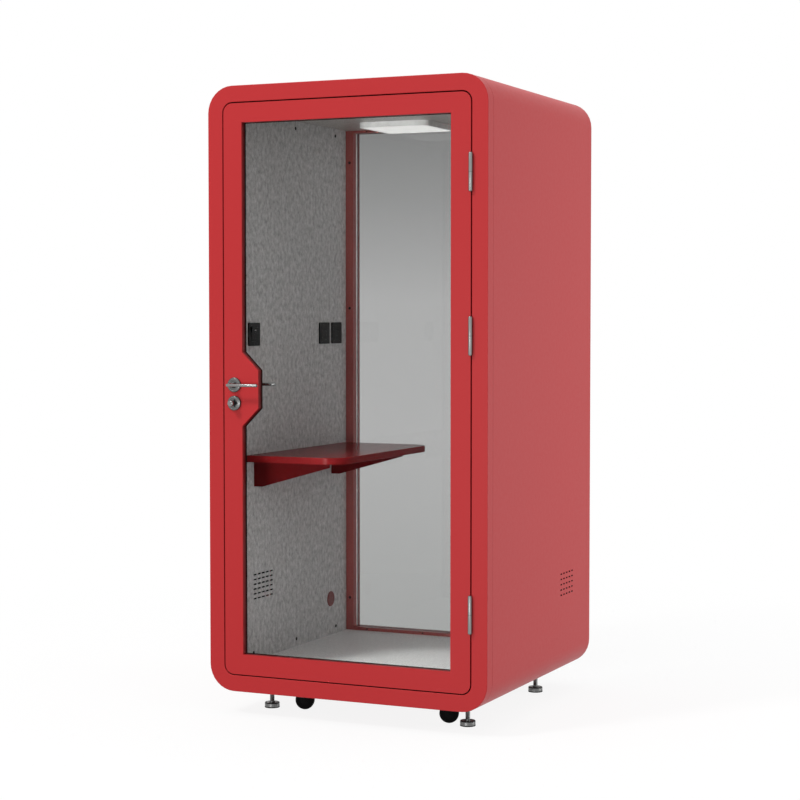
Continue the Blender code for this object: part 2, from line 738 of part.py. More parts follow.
def make_base():
    """Welded frame of channel with two beams that take the feet and casters."""
    y_low, y_high = SHELL_FRONT + JOGGLE + FIT, SHELL_BACK - JOGGLE - FIT
    middle = (y_low + y_high) / 2
    z_low, z_high, wall = BASE_Z, BASE_TOP, BASE_WALL
    section = [(0, z_low), (BASE_FLANGE, z_low), (BASE_FLANGE, z_low + wall), (wall, z_low + wall),
               (wall, z_high - wall), (BASE_FLANGE, z_high - wall), (BASE_FLANGE, z_high), (0, z_high)]
    loops = []
    for inset, z in section:
        u, v = BASE_HALF_WIDTH - inset, (y_high - y_low) / 2 - inset
        loops.append([(-u, middle - v, z), (u, middle - v, z), (u, middle + v, z), (-u, middle + v, z)])
    shape = bmesh.new()
    belt(shape, loops + loops[:1])
    base = finished("base_frame", shape, ZINC)
    reach = BASE_HALF_WIDTH - 2 * wall
    low, high = z_low + wall / 2, z_high - wall / 4
    for k, y in enumerate(BEAM_Y):
        half = BEAM_WIDTH / 2
        web = [(y - half, low), (y - half + wall, low), (y - half + wall, high - wall),
               (y + half - wall, high - wall), (y + half - wall, low), (y + half, low),
               (y + half, high), (y - half, high)]
        add(base, slab(f"beam_{k}", [web], "X", -reach, reach))
    for end in range(2):
        for side in (-1, 1):
            for x, y, bore in ((FOOT_X, FOOT_Y[end], FOOT_STEM + 2 * FIT),
                               (CASTER_X, CASTER_Y[end], KING_PIN + 2 * FIT)):
                low_end, top = low - z_low, high - z_low - wall / 2
                profile = [(bore, low_end), (BOSS_RADIUS, low_end), (BOSS_RADIUS, top), (bore, top),
                           (bore, low_end)]
                centre = (side * x, y, z_low)
                add(base, turned(f"boss_{end}_{side}_{x}", profile, centre, (0, 0, 1), steps=12))


def make_desk():
    """Desk top with two rounded corners, on two wall brackets."""
    x = -WALL_X + FIT
    corner = rounded(x, DESK_FRONT_Y, -WALL_X + DESK_REACH, DESK_REAR_Y,
                     [0, DESK_CORNER, DESK_CORNER, 0])
    slab("desk_top", [corner], "Z", DESK_BOTTOM, DESK_TOP_Z, DARK_RED)
    top, bottom = DESK_BOTTOM - FIT, DESK_BOTTOM - BRACKET_HEIGHT
    for label, k in ENDS:
        y = BRACKET_Y[k]
        points = [(x, top), (x, bottom), (x + BRACKET_FOOT, bottom),
                  (x + BRACKET_LENGTH, top - BRACKET_TIP), (x + BRACKET_LENGTH, top)]
        plate = slab(f"desk_bracket_{label}", [points], "Y", y, y + BRACKET_SHEET, DARK_RED)
        sheet, back = BRACKET_SHEET, y + BRACKET_FLANGE
        inner = y + BRACKET_SHEET / 2
        ell = [(x, top), (x, bottom), (x + sheet, bottom), (x + sheet, top - sheet),
               (x + BRACKET_LENGTH - sheet, top - sheet), (x + BRACKET_LENGTH - sheet, top)]
        add(plate, slab(f"bracket_flange_{label}", [ell], "Y", inner, back))


def wall_plate(name, y, finish):
    """A square wall plate with its back box behind the felt."""
    half, back = PLATE_SIZE / 2, BOX_SIZE / 2
    face = -WALL_X + FIT
    points = rounded(y - half, PLATE_Z - half, y + half, PLATE_Z + half, [PLATE_CORNER] * 4, 3)
    plate = slab(name, [points], "X", face, face + PLATE_THICKNESS, finish)
    add(plate, box(f"{name}_box", (face - BOX_DEPTH, y - back, PLATE_Z - back),
                   (face + PLATE_THICKNESS / 2, y + back, PLATE_Z + back)))
    return plate, face


def make_wall_fittings():
    """Two sockets, a light switch and the round cable cover."""
    for (label, k) in ENDS:
        y = SOCKET_Y[k]
        plate, face = wall_plate(f"socket_{label}", y, BLACK)
        holes = []
        long, short = PIN_HOLE
        pins = [(dy, dz, short, long) for dy in (-PIN_SPREAD, PIN_SPREAD) for dz in PIN_PAIR_Z]
        for dy, dz, width, height in [*pins, (0, EARTH_PIN_Z, long, short)]:
            low = (face + PLATE_THICKNESS / 2, y + dy - width / 2, PLATE_Z + dz - height / 2)
            high = (face + 2 * PLATE_THICKNESS, y + dy + width / 2, PLATE_Z + dz + height / 2)
            holes.append((low, high))
        cut(plate, boxes(f"socket_holes_{label}", holes))
    plate, face = wall_plate("switch_plate", SWITCH_Y, BLACK)
    room = ROCKER_SIZE / 2 + FIT
    depth = face + PLATE_THICKNESS + ROCKER_PROUD - 2 * ROCKER_THICKNESS
    cut(plate, box("rocker_seat", (depth, SWITCH_Y - room, PLATE_Z - room),
                   (face + 2 * PLATE_THICKNESS, SWITCH_Y + room, PLATE_Z + room)))
    half = ROCKER_SIZE / 2
    front = face + PLATE_THICKNESS + ROCKER_PROUD
    rocker = box("switch_rocker", (front - ROCKER_THICKNESS, SWITCH_Y - half, PLATE_Z - half + FIT),
                 (front, SWITCH_Y + half, PLATE_Z + half - FIT), BLACK)
    hang_on(rocker, (front - ROCKER_THICKNESS / 2, SWITCH_Y, PLATE_Z))
    rocker.data.transform(Matrix.Rotation(ROCKER_TILT, 4, 'Y'))
    profile = [(0, -FELT), (CABLE_BOSS, -FELT), (CABLE_BOSS, FIT), (CABLE_RADIUS, FIT),
               (CABLE_RADIUS, CABLE_COVER_THICKNESS / 2),
               (CABLE_RADIUS - CABLE_COVER_THICKNESS / 2, CABLE_COVER_THICKNESS),
               (0, CABLE_COVER_THICKNESS)]
    turned("cable_cover", profile, (-WALL_X, CABLE_Y, CABLE_Z), (1, 0, 0), DARK_RED, steps=32)


def make_light():
    """Square ceiling light: a white tray and its diffuser."""
    half = LIGHT_SIZE / 2

    def square(inset):
        return rounded(LIGHT_X - half + inset, LIGHT_Y - half + inset, LIGHT_X + half - inset,
                       LIGHT_Y + half - inset, [LIGHT_CORNER - inset] * 4, 8)

    low = CEILING_Z - LIGHT_DROP
    tray = slab("light_housing", [square(0)], "Z", low, CEILING_Z - FIT, WHITE)
    depth = DIFFUSER_RECESS + DIFFUSER_THICKNESS + FIT
    cut(tray, slab("diffuser_seat", [square(LIGHT_RIM)], "Z", low - depth, low + depth))
    slab("light_diffuser", [square(LIGHT_RIM + FIT)], "Z", low + DIFFUSER_RECESS,
         low + DIFFUSER_RECESS + DIFFUSER_THICKNESS, WHITE)


def make_fan():
    """Supply fan on the back of the left felt wall."""
    x = -LINING_X - FIT
    back = x - FAN_DEPTH
    y, z, half = INNER_VENT_Y, VENT_Z, FAN_SIZE / 2
    housing = box("fan_housing", (back, y - half, z - half), (x, y + half, z + half), BLACK)
    cut(housing, rod("fan_bore", (back - FAN_STRUT, y, z), (x + FAN_STRUT, y, z), FAN_BORE, steps=32))
    strut = FAN_STRUT / 2
    reach = FAN_BORE + strut
    edge = back + strut / 4
    add(housing, box("fan_strut_up", (edge, y - strut, z - reach), (back + strut, y + strut, z + reach)),
        box("fan_strut_across", (edge + strut / 4, y - reach, z - strut),
            (back + strut * 1.2, y + reach, z + strut)),
        rod("fan_motor", (edge + strut / 8, y, z), (back + FAN_STRUT, y, z), FAN_HUB))
    hub_low, hub_high = back + FAN_STRUT + 2 * FIT, x - 2 * FIT
    length = hub_high - hub_low
    profile = [(0, 0), (FAN_HUB, 0), (FAN_HUB, length - 2 * EDGE), (FAN_HUB - 2 * EDGE, length), (0, length)]
    rotor = turned("fan_rotor", profile, (hub_low, y, z), (1, 0, 0), BLACK)
    tip = FAN_BORE - FAN_TIP_PLAY
    shape = bmesh.new()
    for blade in range(FAN_BLADES):
        size = Matrix.Diagonal((2 * EDGE, length * 0.8, tip - FAN_HUB / 2, 1))
        lean = Matrix.Rotation(math.radians(45), 4, 'Z')
        out = Matrix.Translation((0, 0, (tip + FAN_HUB / 2) / 2))
        spin = Matrix.Rotation(math.tau * blade / FAN_BLADES, 4, 'X')
        centre = Matrix.Translation(((hub_low + hub_high) / 2, y, z))
        bmesh.ops.create_cube(shape, size=1, matrix=centre @ spin @ out @ lean @ size)
    mesh = bpy.data.meshes.new("fan_blades")
    shape.to_mesh(mesh)
    shape.free()
    blades = keep("fan_blades", mesh)
    trim = rod("fan_sweep", (hub_low, y, z), (hub_high, y, z), tip, steps=48)
    combine(blades, trim, 'INTERSECT')
    add(rotor, blades)


def make_door():
    """Door skins, glass and the seal against the stop."""
    glass_y = GLASS_RECESS + FIT
    bead_y = glass_y + DOOR_GLASS + FIT
    plate_y, reveal = DOOR_THICKNESS - DOOR_PLATE, INNER_REVEAL
    holes = [circle(SPINDLE_X, LEVER_Z, SPINDLE), circle(SPINDLE_X, CYLINDER_Z, KNOB_STEM + 2 * FIT)]
    skin = folded("door_outer_frame",
                  [(0, 0), (0, DOOR_SKIN_DEPTH), (SHEET, DOOR_SKIN_DEPTH), (SHEET, SHEET)],
                  [(0, 0), (0, GLASS_RECESS), (SHEET, GLASS_RECESS), (SHEET, SHEET)], holes, RED)
    folded("door_inner_frame", [(0, DOOR_THICKNESS), (0, plate_y)],
           [(reveal, DOOR_THICKNESS), (reveal, bead_y), (reveal + SHEET, bead_y),
            (reveal + SHEET, plate_y)], holes, RED)
    slab("door_glass", [window(GLASS_BITE)], "Y", glass_y, glass_y + DOOR_GLASS, GLASS)
    for name, z, height in (("latch", LEVER_Z, LATCH_HEIGHT), ("deadbolt", CYLINDER_Z, DEADBOLT_HEIGHT)):
        cut(skin, bolt_hole(f"door_{name}_hole", z, height, -DOOR_EDGE_X - SHEET, -DOOR_EDGE_X + 2 * SHEET))
    seal_inset = FRAME_FACE + STOP_WIDTH / 2 - SEAL_WIDTH / 2 + DOOR_GAP / 2
    slab("door_seal", [outline(seal_inset), outline(seal_inset + SEAL_WIDTH)], "Y",
         DOOR_THICKNESS + FIT, STOP_Y - FIT, RUBBER)


def make_hinges():
    """Three lift off hinges: a pin half on the frame and a socket half on the door."""
    half = HINGE_LENGTH / 2
    radius, dome = HINGE_RADIUS, HINGE_RADIUS / 2
    leaf_x = DOOR_GAP / 2 - FIT
    for k, z in enumerate(HINGE_HEIGHTS):
        centre = (HINGE_X, HINGE_Y, z)
        low = -HINGE_SPLIT / 2
        profile = [(0, -half), (dome, -half), (radius * 0.85, -half + dome * 0.35),
                   (radius, -half + dome), (radius, low), (HINGE_PIN, low),
                   (HINGE_PIN, low + HINGE_PIN_LENGTH), (0, low + HINGE_PIN_LENGTH)]
        lower = turned(f"hinge_frame_{k + 1}", profile, centre, (0, 0, 1), STEEL, 16)
        back = HINGE_Y + radius + HINGE_LEAF_DEPTH
        start = (HINGE_X + leaf_x - HINGE_LEAF, HINGE_Y + HINGE_PIN, z - half + radius)
        add(lower, box(f"frame_leaf_{k}", start, (HINGE_X + leaf_x, back, z + low - radius / 2)))
        bore, deep = HINGE_PIN + FIT, HINGE_PIN_LENGTH + 2 * HINGE_SPLIT
        high = HINGE_SPLIT / 2
        profile = [(0, high + deep), (bore, high + deep), (bore, high), (radius, high),
                   (radius, half - dome), (radius * 0.85, half - dome * 0.35), (dome, half), (0, half)]
        upper = turned(f"hinge_door_{k + 1}", profile, centre, (0, 0, 1), STEEL, 16)
        start = (HINGE_X - leaf_x, HINGE_Y + HINGE_PIN + 2 * FIT, z + high + radius / 2)
        add(upper, box(f"door_leaf_{k}", start, (HINGE_X - leaf_x + HINGE_LEAF, back, z + half - radius)))


def make_lock():
    """Mortise case, bolts, roses and the plate on the inside."""
    edge = -DOOR_EDGE_X
    case_x = edge + SHEET + FIT
    low = (case_x, CASE_Y, LOCK_Z - CASE_HEIGHT / 2)
    high = (case_x + CASE_WIDTH, CASE_Y + CASE_THICKNESS, LOCK_Z + CASE_HEIGHT / 2)
    case = box("lock_case", low, high, STEEL)
    latch_tail = edge - LATCH_NOSE + LATCH_LENGTH
    bolt_tail = edge + DEADBOLT_LENGTH
    cut(case, bolt_hole("case_latch_pocket", LEVER_Z, LATCH_HEIGHT, edge, latch_tail + LATCH_TRAVEL + FIT),
        bolt_hole("case_bolt_pocket", CYLINDER_Z, DEADBOLT_HEIGHT, edge, bolt_tail + 3 * FIT))
    reach = CASE_THICKNESS
    cut(case, rod("case_spindle_hole", (SPINDLE_X, CASE_Y - reach, LEVER_Z),
                  (SPINDLE_X, CASE_Y + 2 * reach, LEVER_Z), SPINDLE * 0.8),
        rod("case_stem_hole", (SPINDLE_X, CASE_Y - reach, CYLINDER_Z),
            (SPINDLE_X, CASE_Y + 2 * reach, CYLINDER_Z), KNOB_STEM + 2 * FIT))
    for name, z, height, nose, tail in (("latch_bolt", LEVER_Z, LATCH_HEIGHT, edge - LATCH_NOSE, latch_tail),
                                        ("deadbolt", CYLINDER_Z, DEADBOLT_HEIGHT, edge + FIT, bolt_tail)):
        bolt = box(name, (nose, BOLT_Y - BOLT_THICKNESS / 2, z - height / 2),
                   (tail, BOLT_Y + BOLT_THICKNESS / 2, z + height / 2), STEEL)
        hang_on(bolt, (tail, BOLT_Y, z))
    for name, z, bore in (("outer_rose", LEVER_Z, LEVER_COLLAR + 2 * FIT),
                          ("outer_escutcheon", CYLINDER_Z, KNOB_STEM + 2 * FIT)):
        profile = [(bore, FIT), (ROSE_RADIUS, FIT), (ROSE_RADIUS, ROSE_THICKNESS - 2 * EDGE),
                   (ROSE_RADIUS - EDGE, ROSE_THICKNESS - EDGE / 2), (ROSE_RADIUS - 2 * EDGE, ROSE_THICKNESS),
                   (bore, ROSE_THICKNESS), (bore, FIT)]
        turned(name, profile, (SPINDLE_X, 0, z), (0, -1, 0), STEEL, 32)
    drop = CYLINDER_Z - ROSE_RADIUS * 1.2
    rise = LEVER_Z + ROSE_RADIUS * 1.2
    plate = rounded(SPINDLE_X - ROSE_RADIUS, drop, SPINDLE_X + ROSE_RADIUS, rise, [ROSE_RADIUS * 0.9] * 4, 6)
    y = DOOR_THICKNESS + FIT
    inner = slab("inner_plate", [plate], "Y", y, y + INNER_PLATE_THICKNESS, STEEL)
    cut(inner, rod("inner_plate_bore", (SPINDLE_X, y - reach, LEVER_Z), (SPINDLE_X, y + reach, LEVER_Z),
                   LEVER_COLLAR + 2 * FIT))


def lever_handle(name, face_y, outwards, tip):
    """A round lever bar on its neck, outside or inside the door."""
    bar_y = face_y + outwards * LEVER_REACH
    foot = ROSE_THICKNESS / 4
    collar = LEVER_COLLAR
    profile = [(0, foot), (collar, foot), (collar, ROSE_THICKNESS + EDGE), (LEVER_NECK, ROSE_THICKNESS * 2),
               (LEVER_NECK * 0.9, LEVER_REACH), (0, LEVER_REACH)]
    lever = turned(name, profile, (SPINDLE_X, face_y, LEVER_Z), (0, outwards, 0), STEEL, 24)
    length, round_end = LEVER_HEEL + LEVER_LENGTH, LEVER_RADIUS * 0.35
    bar = [(0, 0), (LEVER_RADIUS - round_end, 0), (LEVER_RADIUS - round_end * 0.3, round_end * 0.3),
           (LEVER_RADIUS, round_end), (LEVER_RADIUS, length - round_end),
           (LEVER_RADIUS - round_end * 0.3, length - round_end * 0.3),
           (LEVER_RADIUS - round_end, length), (0, length)]
    add(lever, turned(f"{name}_bar", bar, (SPINDLE_X - LEVER_HEEL, bar_y, LEVER_Z), (1, 0, 0), steps=20))
    half = SPINDLE / 2
    if tip is None:
        socket = half + SPINDLE_PLAY
        deep = face_y + outwards * LEVER_REACH * 0.75
        start = (SPINDLE_X - socket, face_y - outwards * ROSE_THICKNESS, LEVER_Z - socket)
        cut(lever, box(f"{name}_socket", start, (SPINDLE_X + socket, deep, LEVER_Z + socket)))
        return lever
    low, high = sorted((face_y + outwards * ROSE_THICKNESS, tip))
    return add(lever, box(f"{name}_spindle", (SPINDLE_X - half, low, LEVER_Z - half),
                          (SPINDLE_X + half, high, LEVER_Z + half)))


def make_handles():
    """Outside lever with the spindle, inside lever, and the thumb turn of the bolt."""
    tip = DOOR_THICKNESS + LEVER_REACH * 0.7
    lever_handle("lever_outside", 0, -1, tip)
    lever_handle("lever_inside", DOOR_THICKNESS, 1, None)
    inside = CASE_Y + CASE_THICKNESS / 2
    front = KNOB_REACH
    back = front - KNOB_THICKNESS
    profile = [(0, -inside), (KNOB_STEM, -inside), (KNOB_STEM, back), (KNOB_RADIUS - EDGE, back),
               (KNOB_RADIUS, back + EDGE), (KNOB_RADIUS, front - 2 * EDGE),
               (KNOB_RADIUS - EDGE, front - EDGE / 2), (KNOB_RADIUS - 2 * EDGE, front), (0, front)]
    turned("thumb_turn", profile, (SPINDLE_X, 0, CYLINDER_Z), (0, -1, 0), STEEL, 24)


def make_feet():
    """Four levelling feet, each a pad on a threaded stem."""
    top = GROUND_GAP + FOOT_INSERT
    pad, radius, stem = FOOT_PAD, FOOT_RADIUS, FOOT_STEM
    profile = [(0, 0), (radius - EDGE, 0), (radius, EDGE), (radius, pad - 2 * EDGE),
               (radius - EDGE, pad - EDGE / 2), (radius - 2 * EDGE, pad), (stem + 2 * EDGE, pad),
               (stem + 2 * EDGE, pad + 3 * EDGE), (stem, pad + 3 * EDGE), (stem, top), (0, top)]
    for end, k in ENDS:
        for label, side in SIDES:
            centre = (side * FOOT_X, FOOT_Y[k], -GROUND_GAP)
            turned(f"foot_{end}_{label}", profile, centre, (0, 0, 1), ZINC, 20)


def make_casters():
    """Four swivel casters that stand just clear of the ground."""
    for end, k in ENDS:
        for label, side in SIDES:
            make_caster(f"{end}_{label}", side * CASTER_X, CASTER_Y[k], CASTER_SWIVEL[k])


def make_caster(label, x, y, swivel):
    """A fork that swivels in the base and a wheel on its axle, drawn trailing to +X and then turned."""
    axle_x = x + TRAIL
    inner = WHEEL_WIDTH / 2 + WHEEL_PLAY
    outer = inner + FORK_SHEET
    top = -FIT
    plate = FORK_TOP + FORK_SHEET
    profile = [(0, 0), (FORK_DISC, 0), (FORK_DISC, top - FORK_TOP - EDGE),
               (FORK_DISC - EDGE, top - FORK_TOP), (KING_PIN, top - FORK_TOP),
               (KING_PIN, top - FORK_TOP + KING_PIN_LENGTH), (0, top - FORK_TOP + KING_PIN_LENGTH)]
    fork = turned(f"caster_fork_{label}", profile, (x, y, FORK_TOP), (0, 0, 1), BLACK, 16)
    low_end = AXLE * 2.5
    leg = [(x - FORK_DISC * 0.8, plate), (axle_x + low_end * 1.6, plate), (axle_x + low_end, WHEEL_Z)]
    for step in range(1, 6):
        angle = math.pi * step / 6
        leg.append((axle_x + low_end * math.cos(angle), WHEEL_Z - low_end * math.sin(angle)))
    leg.append((axle_x - low_end, WHEEL_Z))
    leg.reverse()
    joined = []
    for name, span in (("near", (y - outer, y - inner)), ("far", (y + inner, y + outer))):
        joined.append(slab(f"leg_{name}_{label}", [leg], "Y", *span))
    slack = FORK_SHEET / 8
    side = outer - slack
    joined.append(box(f"crown_{label}", (x - FORK_DISC * 0.8 + slack, y - side, FORK_TOP - slack),
                      (axle_x + low_end * 1.6 - slack, y + side, plate - slack)))
    joined.append(rod(f"axle_{label}", (axle_x, y - side, WHEEL_Z), (axle_x, y + side, WHEEL_Z), AXLE,
                      steps=12))
    add(fork, *joined)
    half, bore = WHEEL_WIDTH / 2, AXLE + AXLE_PLAY
    profile = [(bore, -half), (WHEEL_RADIUS - WHEEL_ROUND, -half),
               (WHEEL_RADIUS - WHEEL_ROUND * 0.3, -half + WHEEL_ROUND * 0.3),
               (WHEEL_RADIUS, -half + WHEEL_ROUND), (WHEEL_RADIUS, half - WHEEL_ROUND),
               (WHEEL_RADIUS - WHEEL_ROUND * 0.3, half - WHEEL_ROUND * 0.3),
               (WHEEL_RADIUS - WHEEL_ROUND, half), (bore, half), (bore, -half)]
    wheel = turned(f"caster_wheel_{label}", profile, (axle_x, y, WHEEL_Z), (0, 1, 0), BLACK, 24)
    pin = Matrix.Translation(TO_WORLD + Vector((x, y, 0)))
    turn = pin @ Matrix.Rotation(swivel, 4, 'Z') @ pin.inverted()
    for piece in (fork, wheel, *joined):
        piece.matrix_basis = turn @ piece.matrix_basis


def join_moving_pieces():
    """The door's pieces hang on its hinge axis, and each wheel on its fork."""
    axis = bpy.data.objects.new("door_axis", None)
    axis.location = TO_WORLD + Vector((HINGE_X, HINGE_Y, LOCK_Z))
    parts.objects.link(axis)
    hinges = [f"hinge_door_{k + 1}" for k in range(len(HINGE_HEIGHTS))]
    carry(axis, ["door_outer_frame", "door_inner_frame", "door_glass", "door_seal", "lock_case",
                 "outer_rose", "outer_escutcheon", "inner_plate", "latch_bolt", "deadbolt",
                 "lever_outside", "lever_inside", "thumb_turn", *hinges])
    for end, k in ENDS:
        for label, side in SIDES:
            fork = parts.objects[f"caster_fork_{end}_{label}"]
            carry(fork, [f"caster_wheel_{end}_{label}"])


make_frames()
make_shell()
make_linings()
make_rear_wall()
make_base()
make_desk()
make_wall_fittings()
make_light()
make_fan()
make_door()
make_hinges()
make_lock()
make_handles()
make_feet()
make_casters()
join_moving_pieces()
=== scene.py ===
"""Office phone booth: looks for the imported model, with the photograph's camera.

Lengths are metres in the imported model's own frame: +Z up, -Y towards the door.
"""

import math

import bmesh
import bpy
from mathutils import Matrix, Vector


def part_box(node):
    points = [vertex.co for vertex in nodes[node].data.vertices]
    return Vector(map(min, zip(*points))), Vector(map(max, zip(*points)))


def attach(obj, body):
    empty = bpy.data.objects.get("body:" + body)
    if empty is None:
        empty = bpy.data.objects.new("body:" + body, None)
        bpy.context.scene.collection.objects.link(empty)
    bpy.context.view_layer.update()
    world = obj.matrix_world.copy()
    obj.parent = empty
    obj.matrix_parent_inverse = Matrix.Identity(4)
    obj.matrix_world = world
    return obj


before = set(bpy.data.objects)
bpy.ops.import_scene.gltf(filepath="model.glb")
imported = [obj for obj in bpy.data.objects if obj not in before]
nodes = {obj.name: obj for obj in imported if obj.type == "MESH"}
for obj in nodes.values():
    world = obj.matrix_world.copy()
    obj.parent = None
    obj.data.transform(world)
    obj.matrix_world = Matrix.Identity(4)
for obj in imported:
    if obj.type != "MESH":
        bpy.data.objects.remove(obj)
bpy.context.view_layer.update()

# Camera, solved from the booth's edges in the 800 pixel photograph
PHOTO_PX = 800
FOCAL_PX = 1927.907
SENSOR = 36.0
CAMERA_PLACE = Vector((3.0176, -6.6561, 1.4689))
CAMERA_YAW = math.radians(-24.5052)
CAMERA_PITCH = math.radians(2.5158)
CAMERA_ROLL = math.radians(0.003)

# Names and directions
SIDES = {"left": -1, "right": 1}
ENDS = ("front", "rear")
CORNERS = [f"{end}_{side}" for end in ENDS for side in SIDES]
HINGES = (1, 2, 3)
X, Y, Z = range(3)
FORWARD, BACKWARD = (0, -1, 0), (0, 1, 0)
LEFTWARD, RIGHTWARD = (-1, 0, 0), (1, 0, 0)
UP, DOWN = (0, 0, 1), (0, 0, -1)

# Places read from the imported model
GLASS_LOW, GLASS_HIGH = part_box("door_glass")
POST_LOW, POST_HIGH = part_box("rear_post_left")
REAR_GLASS_LOW, REAR_GLASS_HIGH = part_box("rear_glass")
DOOR_EDGE_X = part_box("door_outer_frame")[0].x
OUTER_FACE_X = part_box("shell_right")[1].x
WALL_FACE_X = -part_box("felt_wall_left")[1].x
FRONT_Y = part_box("front_frame")[0].y
SILL_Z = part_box("rear_rail_bottom")[1].z
HEAD_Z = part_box("rear_rail_top")[0].z
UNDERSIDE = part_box("shell_left")[0].z


def at(x, y, z):
    """A point given from the middle, back from the door's face and up from the shell's underside."""
    return Vector((x, FRONT_Y + y, UNDERSIDE + z))


def face_middle(name, axis, far):
    """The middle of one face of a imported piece's box: its far or its near face along an axis."""
    low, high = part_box(name)
    point = (low + high) / 2
    point[axis] = (high if far else low)[axis]
    return point


# Shader nodes

def shader_of(material):
    """A material's Principled shader."""
    return material.node_tree.nodes["Principled BSDF"]


def add_node(tree, kind, values, sources):
    """A new shader node, with numbers in some of its inputs and outputs linked to others."""
    node = tree.nodes.new(kind)
    for key, value in values.items():
        node.inputs[key].default_value = value
    for key, source in sources.items():
        tree.links.new(source, node.inputs[key])
    return node


def worked(tree, how, first, second, clamp=False):
    """The result of a Math node on two outputs, or on an output and a number."""
    node = add_node(tree, "ShaderNodeMath", {}, {0: first})
    node.operation = how
    node.use_clamp = clamp
    if isinstance(second, (int, float)):
        node.inputs[1].default_value = second
    else:
        tree.links.new(second, node.inputs[1])
    return node.outputs["Value"]


def within(tree, value, middle, reach):
    """1 where a value is less than a reach away from a middle."""
    away = worked(tree, 'ABSOLUTE', worked(tree, 'SUBTRACT', value, middle), 0.0)
    return worked(tree, 'LESS_THAN', away, reach)


def blend(tree, factor, first, second, output):
    """Links a mix of two shaders to an output node."""
    mix = add_node(tree, "ShaderNodeMixShader", {}, {"Fac": factor, 1: first, 2: second})
    tree.links.new(mix.outputs["Shader"], tree.nodes[output].inputs["Surface"])


def feed(material, source, entry):
    """Links an output to one of the Principled shader's inputs."""
    material.node_tree.links.new(source, shader_of(material).inputs[entry])


def place(material, stretch=(1, 1, 1)):
    """Object coordinates, stretched, as the source of a pattern."""
    tree = material.node_tree
    where = add_node(tree, "ShaderNodeTexCoord", {}, {})
    mapping = add_node(tree, "ShaderNodeMapping", {"Scale": stretch}, {"Vector": where.outputs["Object"]})
    return mapping.outputs["Vector"]


def parts_of(material):
    """Object coordinates as three values."""
    split = add_node(material.node_tree, "ShaderNodeSeparateXYZ", {}, {"Vector": place(material)})
    return split.outputs["X"], split.outputs["Y"], split.outputs["Z"]


def noise(material, vector, scale, detail=3.0, rough=0.5):
    """Grey noise in a material."""
    values = {"Scale": scale, "Detail": detail, "Roughness": rough}
    return add_node(material.node_tree, "ShaderNodeTexNoise", values, {"Vector": vector}).outputs["Fac"]


def spread(material, value, low, high, start=0.3, end=0.7):
    """Maps a pattern's middle range onto two values."""
    values = {"From Min": start, "From Max": end, "To Min": low, "To Max": high}
    return add_node(material.node_tree, "ShaderNodeMapRange", values, {"Value": value}).outputs["Result"]


def tinted(material, value, dark, light, start=0.3, end=0.7):
    """Colour between two tints, led by a pattern."""
    ramp = add_node(material.node_tree, "ShaderNodeValToRGB", {}, {"Fac": value})
    first, last = ramp.color_ramp.elements
    first.position = start
    first.color = (*dark, 1)
    last.position = end
    last.color = (*light, 1)
    feed(material, ramp.outputs["Color"], "Base Color")
    return ramp


def roughened(material, value, low, high):
    """Roughness that varies a little over the surface."""
    feed(material, spread(material, value, low, high), "Roughness")


def bumped(material, value, strength, distance):
    """Relief from a pattern."""
    values = {"Strength": strength, "Distance": distance}
    bump = add_node(material.node_tree, "ShaderNodeBump", values, {"Height": value})
    feed(material, bump.outputs["Normal"], "Normal")


def scaled(colour, factor):
    """A colour made lighter or darker."""
    return tuple(channel * factor for channel in colour)


# Kinds of material

def new_material(name, colour, rough, metallic=0.0, specular=0.5):
    """A Principled material with its even values on the shader itself."""
    material = bpy.data.materials.new(name)
    material.use_nodes = True
    inputs = shader_of(material).inputs
    inputs["Base Color"].default_value = (*colour, 1)
    inputs["Roughness"].default_value = rough
    inputs["Metallic"].default_value = metallic
    inputs["Specular IOR Level"].default_value = specular
    return material


def powder_coat(name, colour, rough, specular):
    """Powder coat: a fine orange peel and the slightest cloud in its tone."""
    material = new_material(name, colour, rough, specular=specular)
    vector = place(material)
    tinted(material, noise(material, vector, 4.0), scaled(colour, 0.985), scaled(colour, 1.015))
    roughened(material, noise(material, vector, 60.0), rough - 0.02, rough + 0.02)
    bumped(material, noise(material, vector, 1100.0, 2.0), 0.03, 0.0002)
    return material


FACE_SKIN = 0.002


def return_shaded(name, colour, rough, specular, reach, dark, opening=None):
    """Powder coat with painted shade that darkens the returns behind the face, the deeper the darker, inside
    an opening if one is given.
    """
    material = powder_coat(name, colour, rough, specular)
    tree = material.node_tree
    x, y, z = parts_of(material)
    depth = spread(material, y, 0, 1, FRONT_Y + FACE_SKIN, FRONT_Y + reach)
    if opening:
        half_width, middle, half_height = opening
        inside = worked(tree, 'MULTIPLY', within(tree, x, 0.0, half_width),
                        within(tree, z, middle, half_height))
        depth = worked(tree, 'MULTIPLY', depth, inside)
    tinted(material, depth, colour, scaled(colour, dark), 0.0, 1.0)
    return material


# Middle and reach of the outer vent, and the painted shade inside its slots
VENT_PLACE = at(OUTER_FACE_X, 0.8143, 0.355)
VENT_REACH_Y, VENT_REACH_Z = 0.075, 0.050
VENT_SKIN = 0.0005
VENT_SHADE = 0.02


def vent_shaded(name, colour, rough, specular):
    """Powder coat with painted shade inside the vent slots' rims."""
    material = powder_coat(name, colour, rough, specular)
    tree = material.node_tree
    x, y, z = parts_of(material)
    inner = within(tree, x, 0.0, OUTER_FACE_X - VENT_SKIN)
    for value, middle, reach in ((y, VENT_PLACE.y, VENT_REACH_Y), (z, VENT_PLACE.z, VENT_REACH_Z)):
        inner = worked(tree, 'MULTIPLY', inner, within(tree, value, middle, reach))
    tinted(material, inner, colour, scaled(colour, VENT_SHADE), 0.0, 1.0)
    return material


FELT_DARK, FELT_LIGHT = (0.250, 0.244, 0.241), (0.660, 0.652, 0.648)
# Near black painted shade on the felt's faces behind its front face
FELT_SLOT_SHADE = (0.006, 0.006, 0.006, 1)
FELT_SKIN = 0.0008


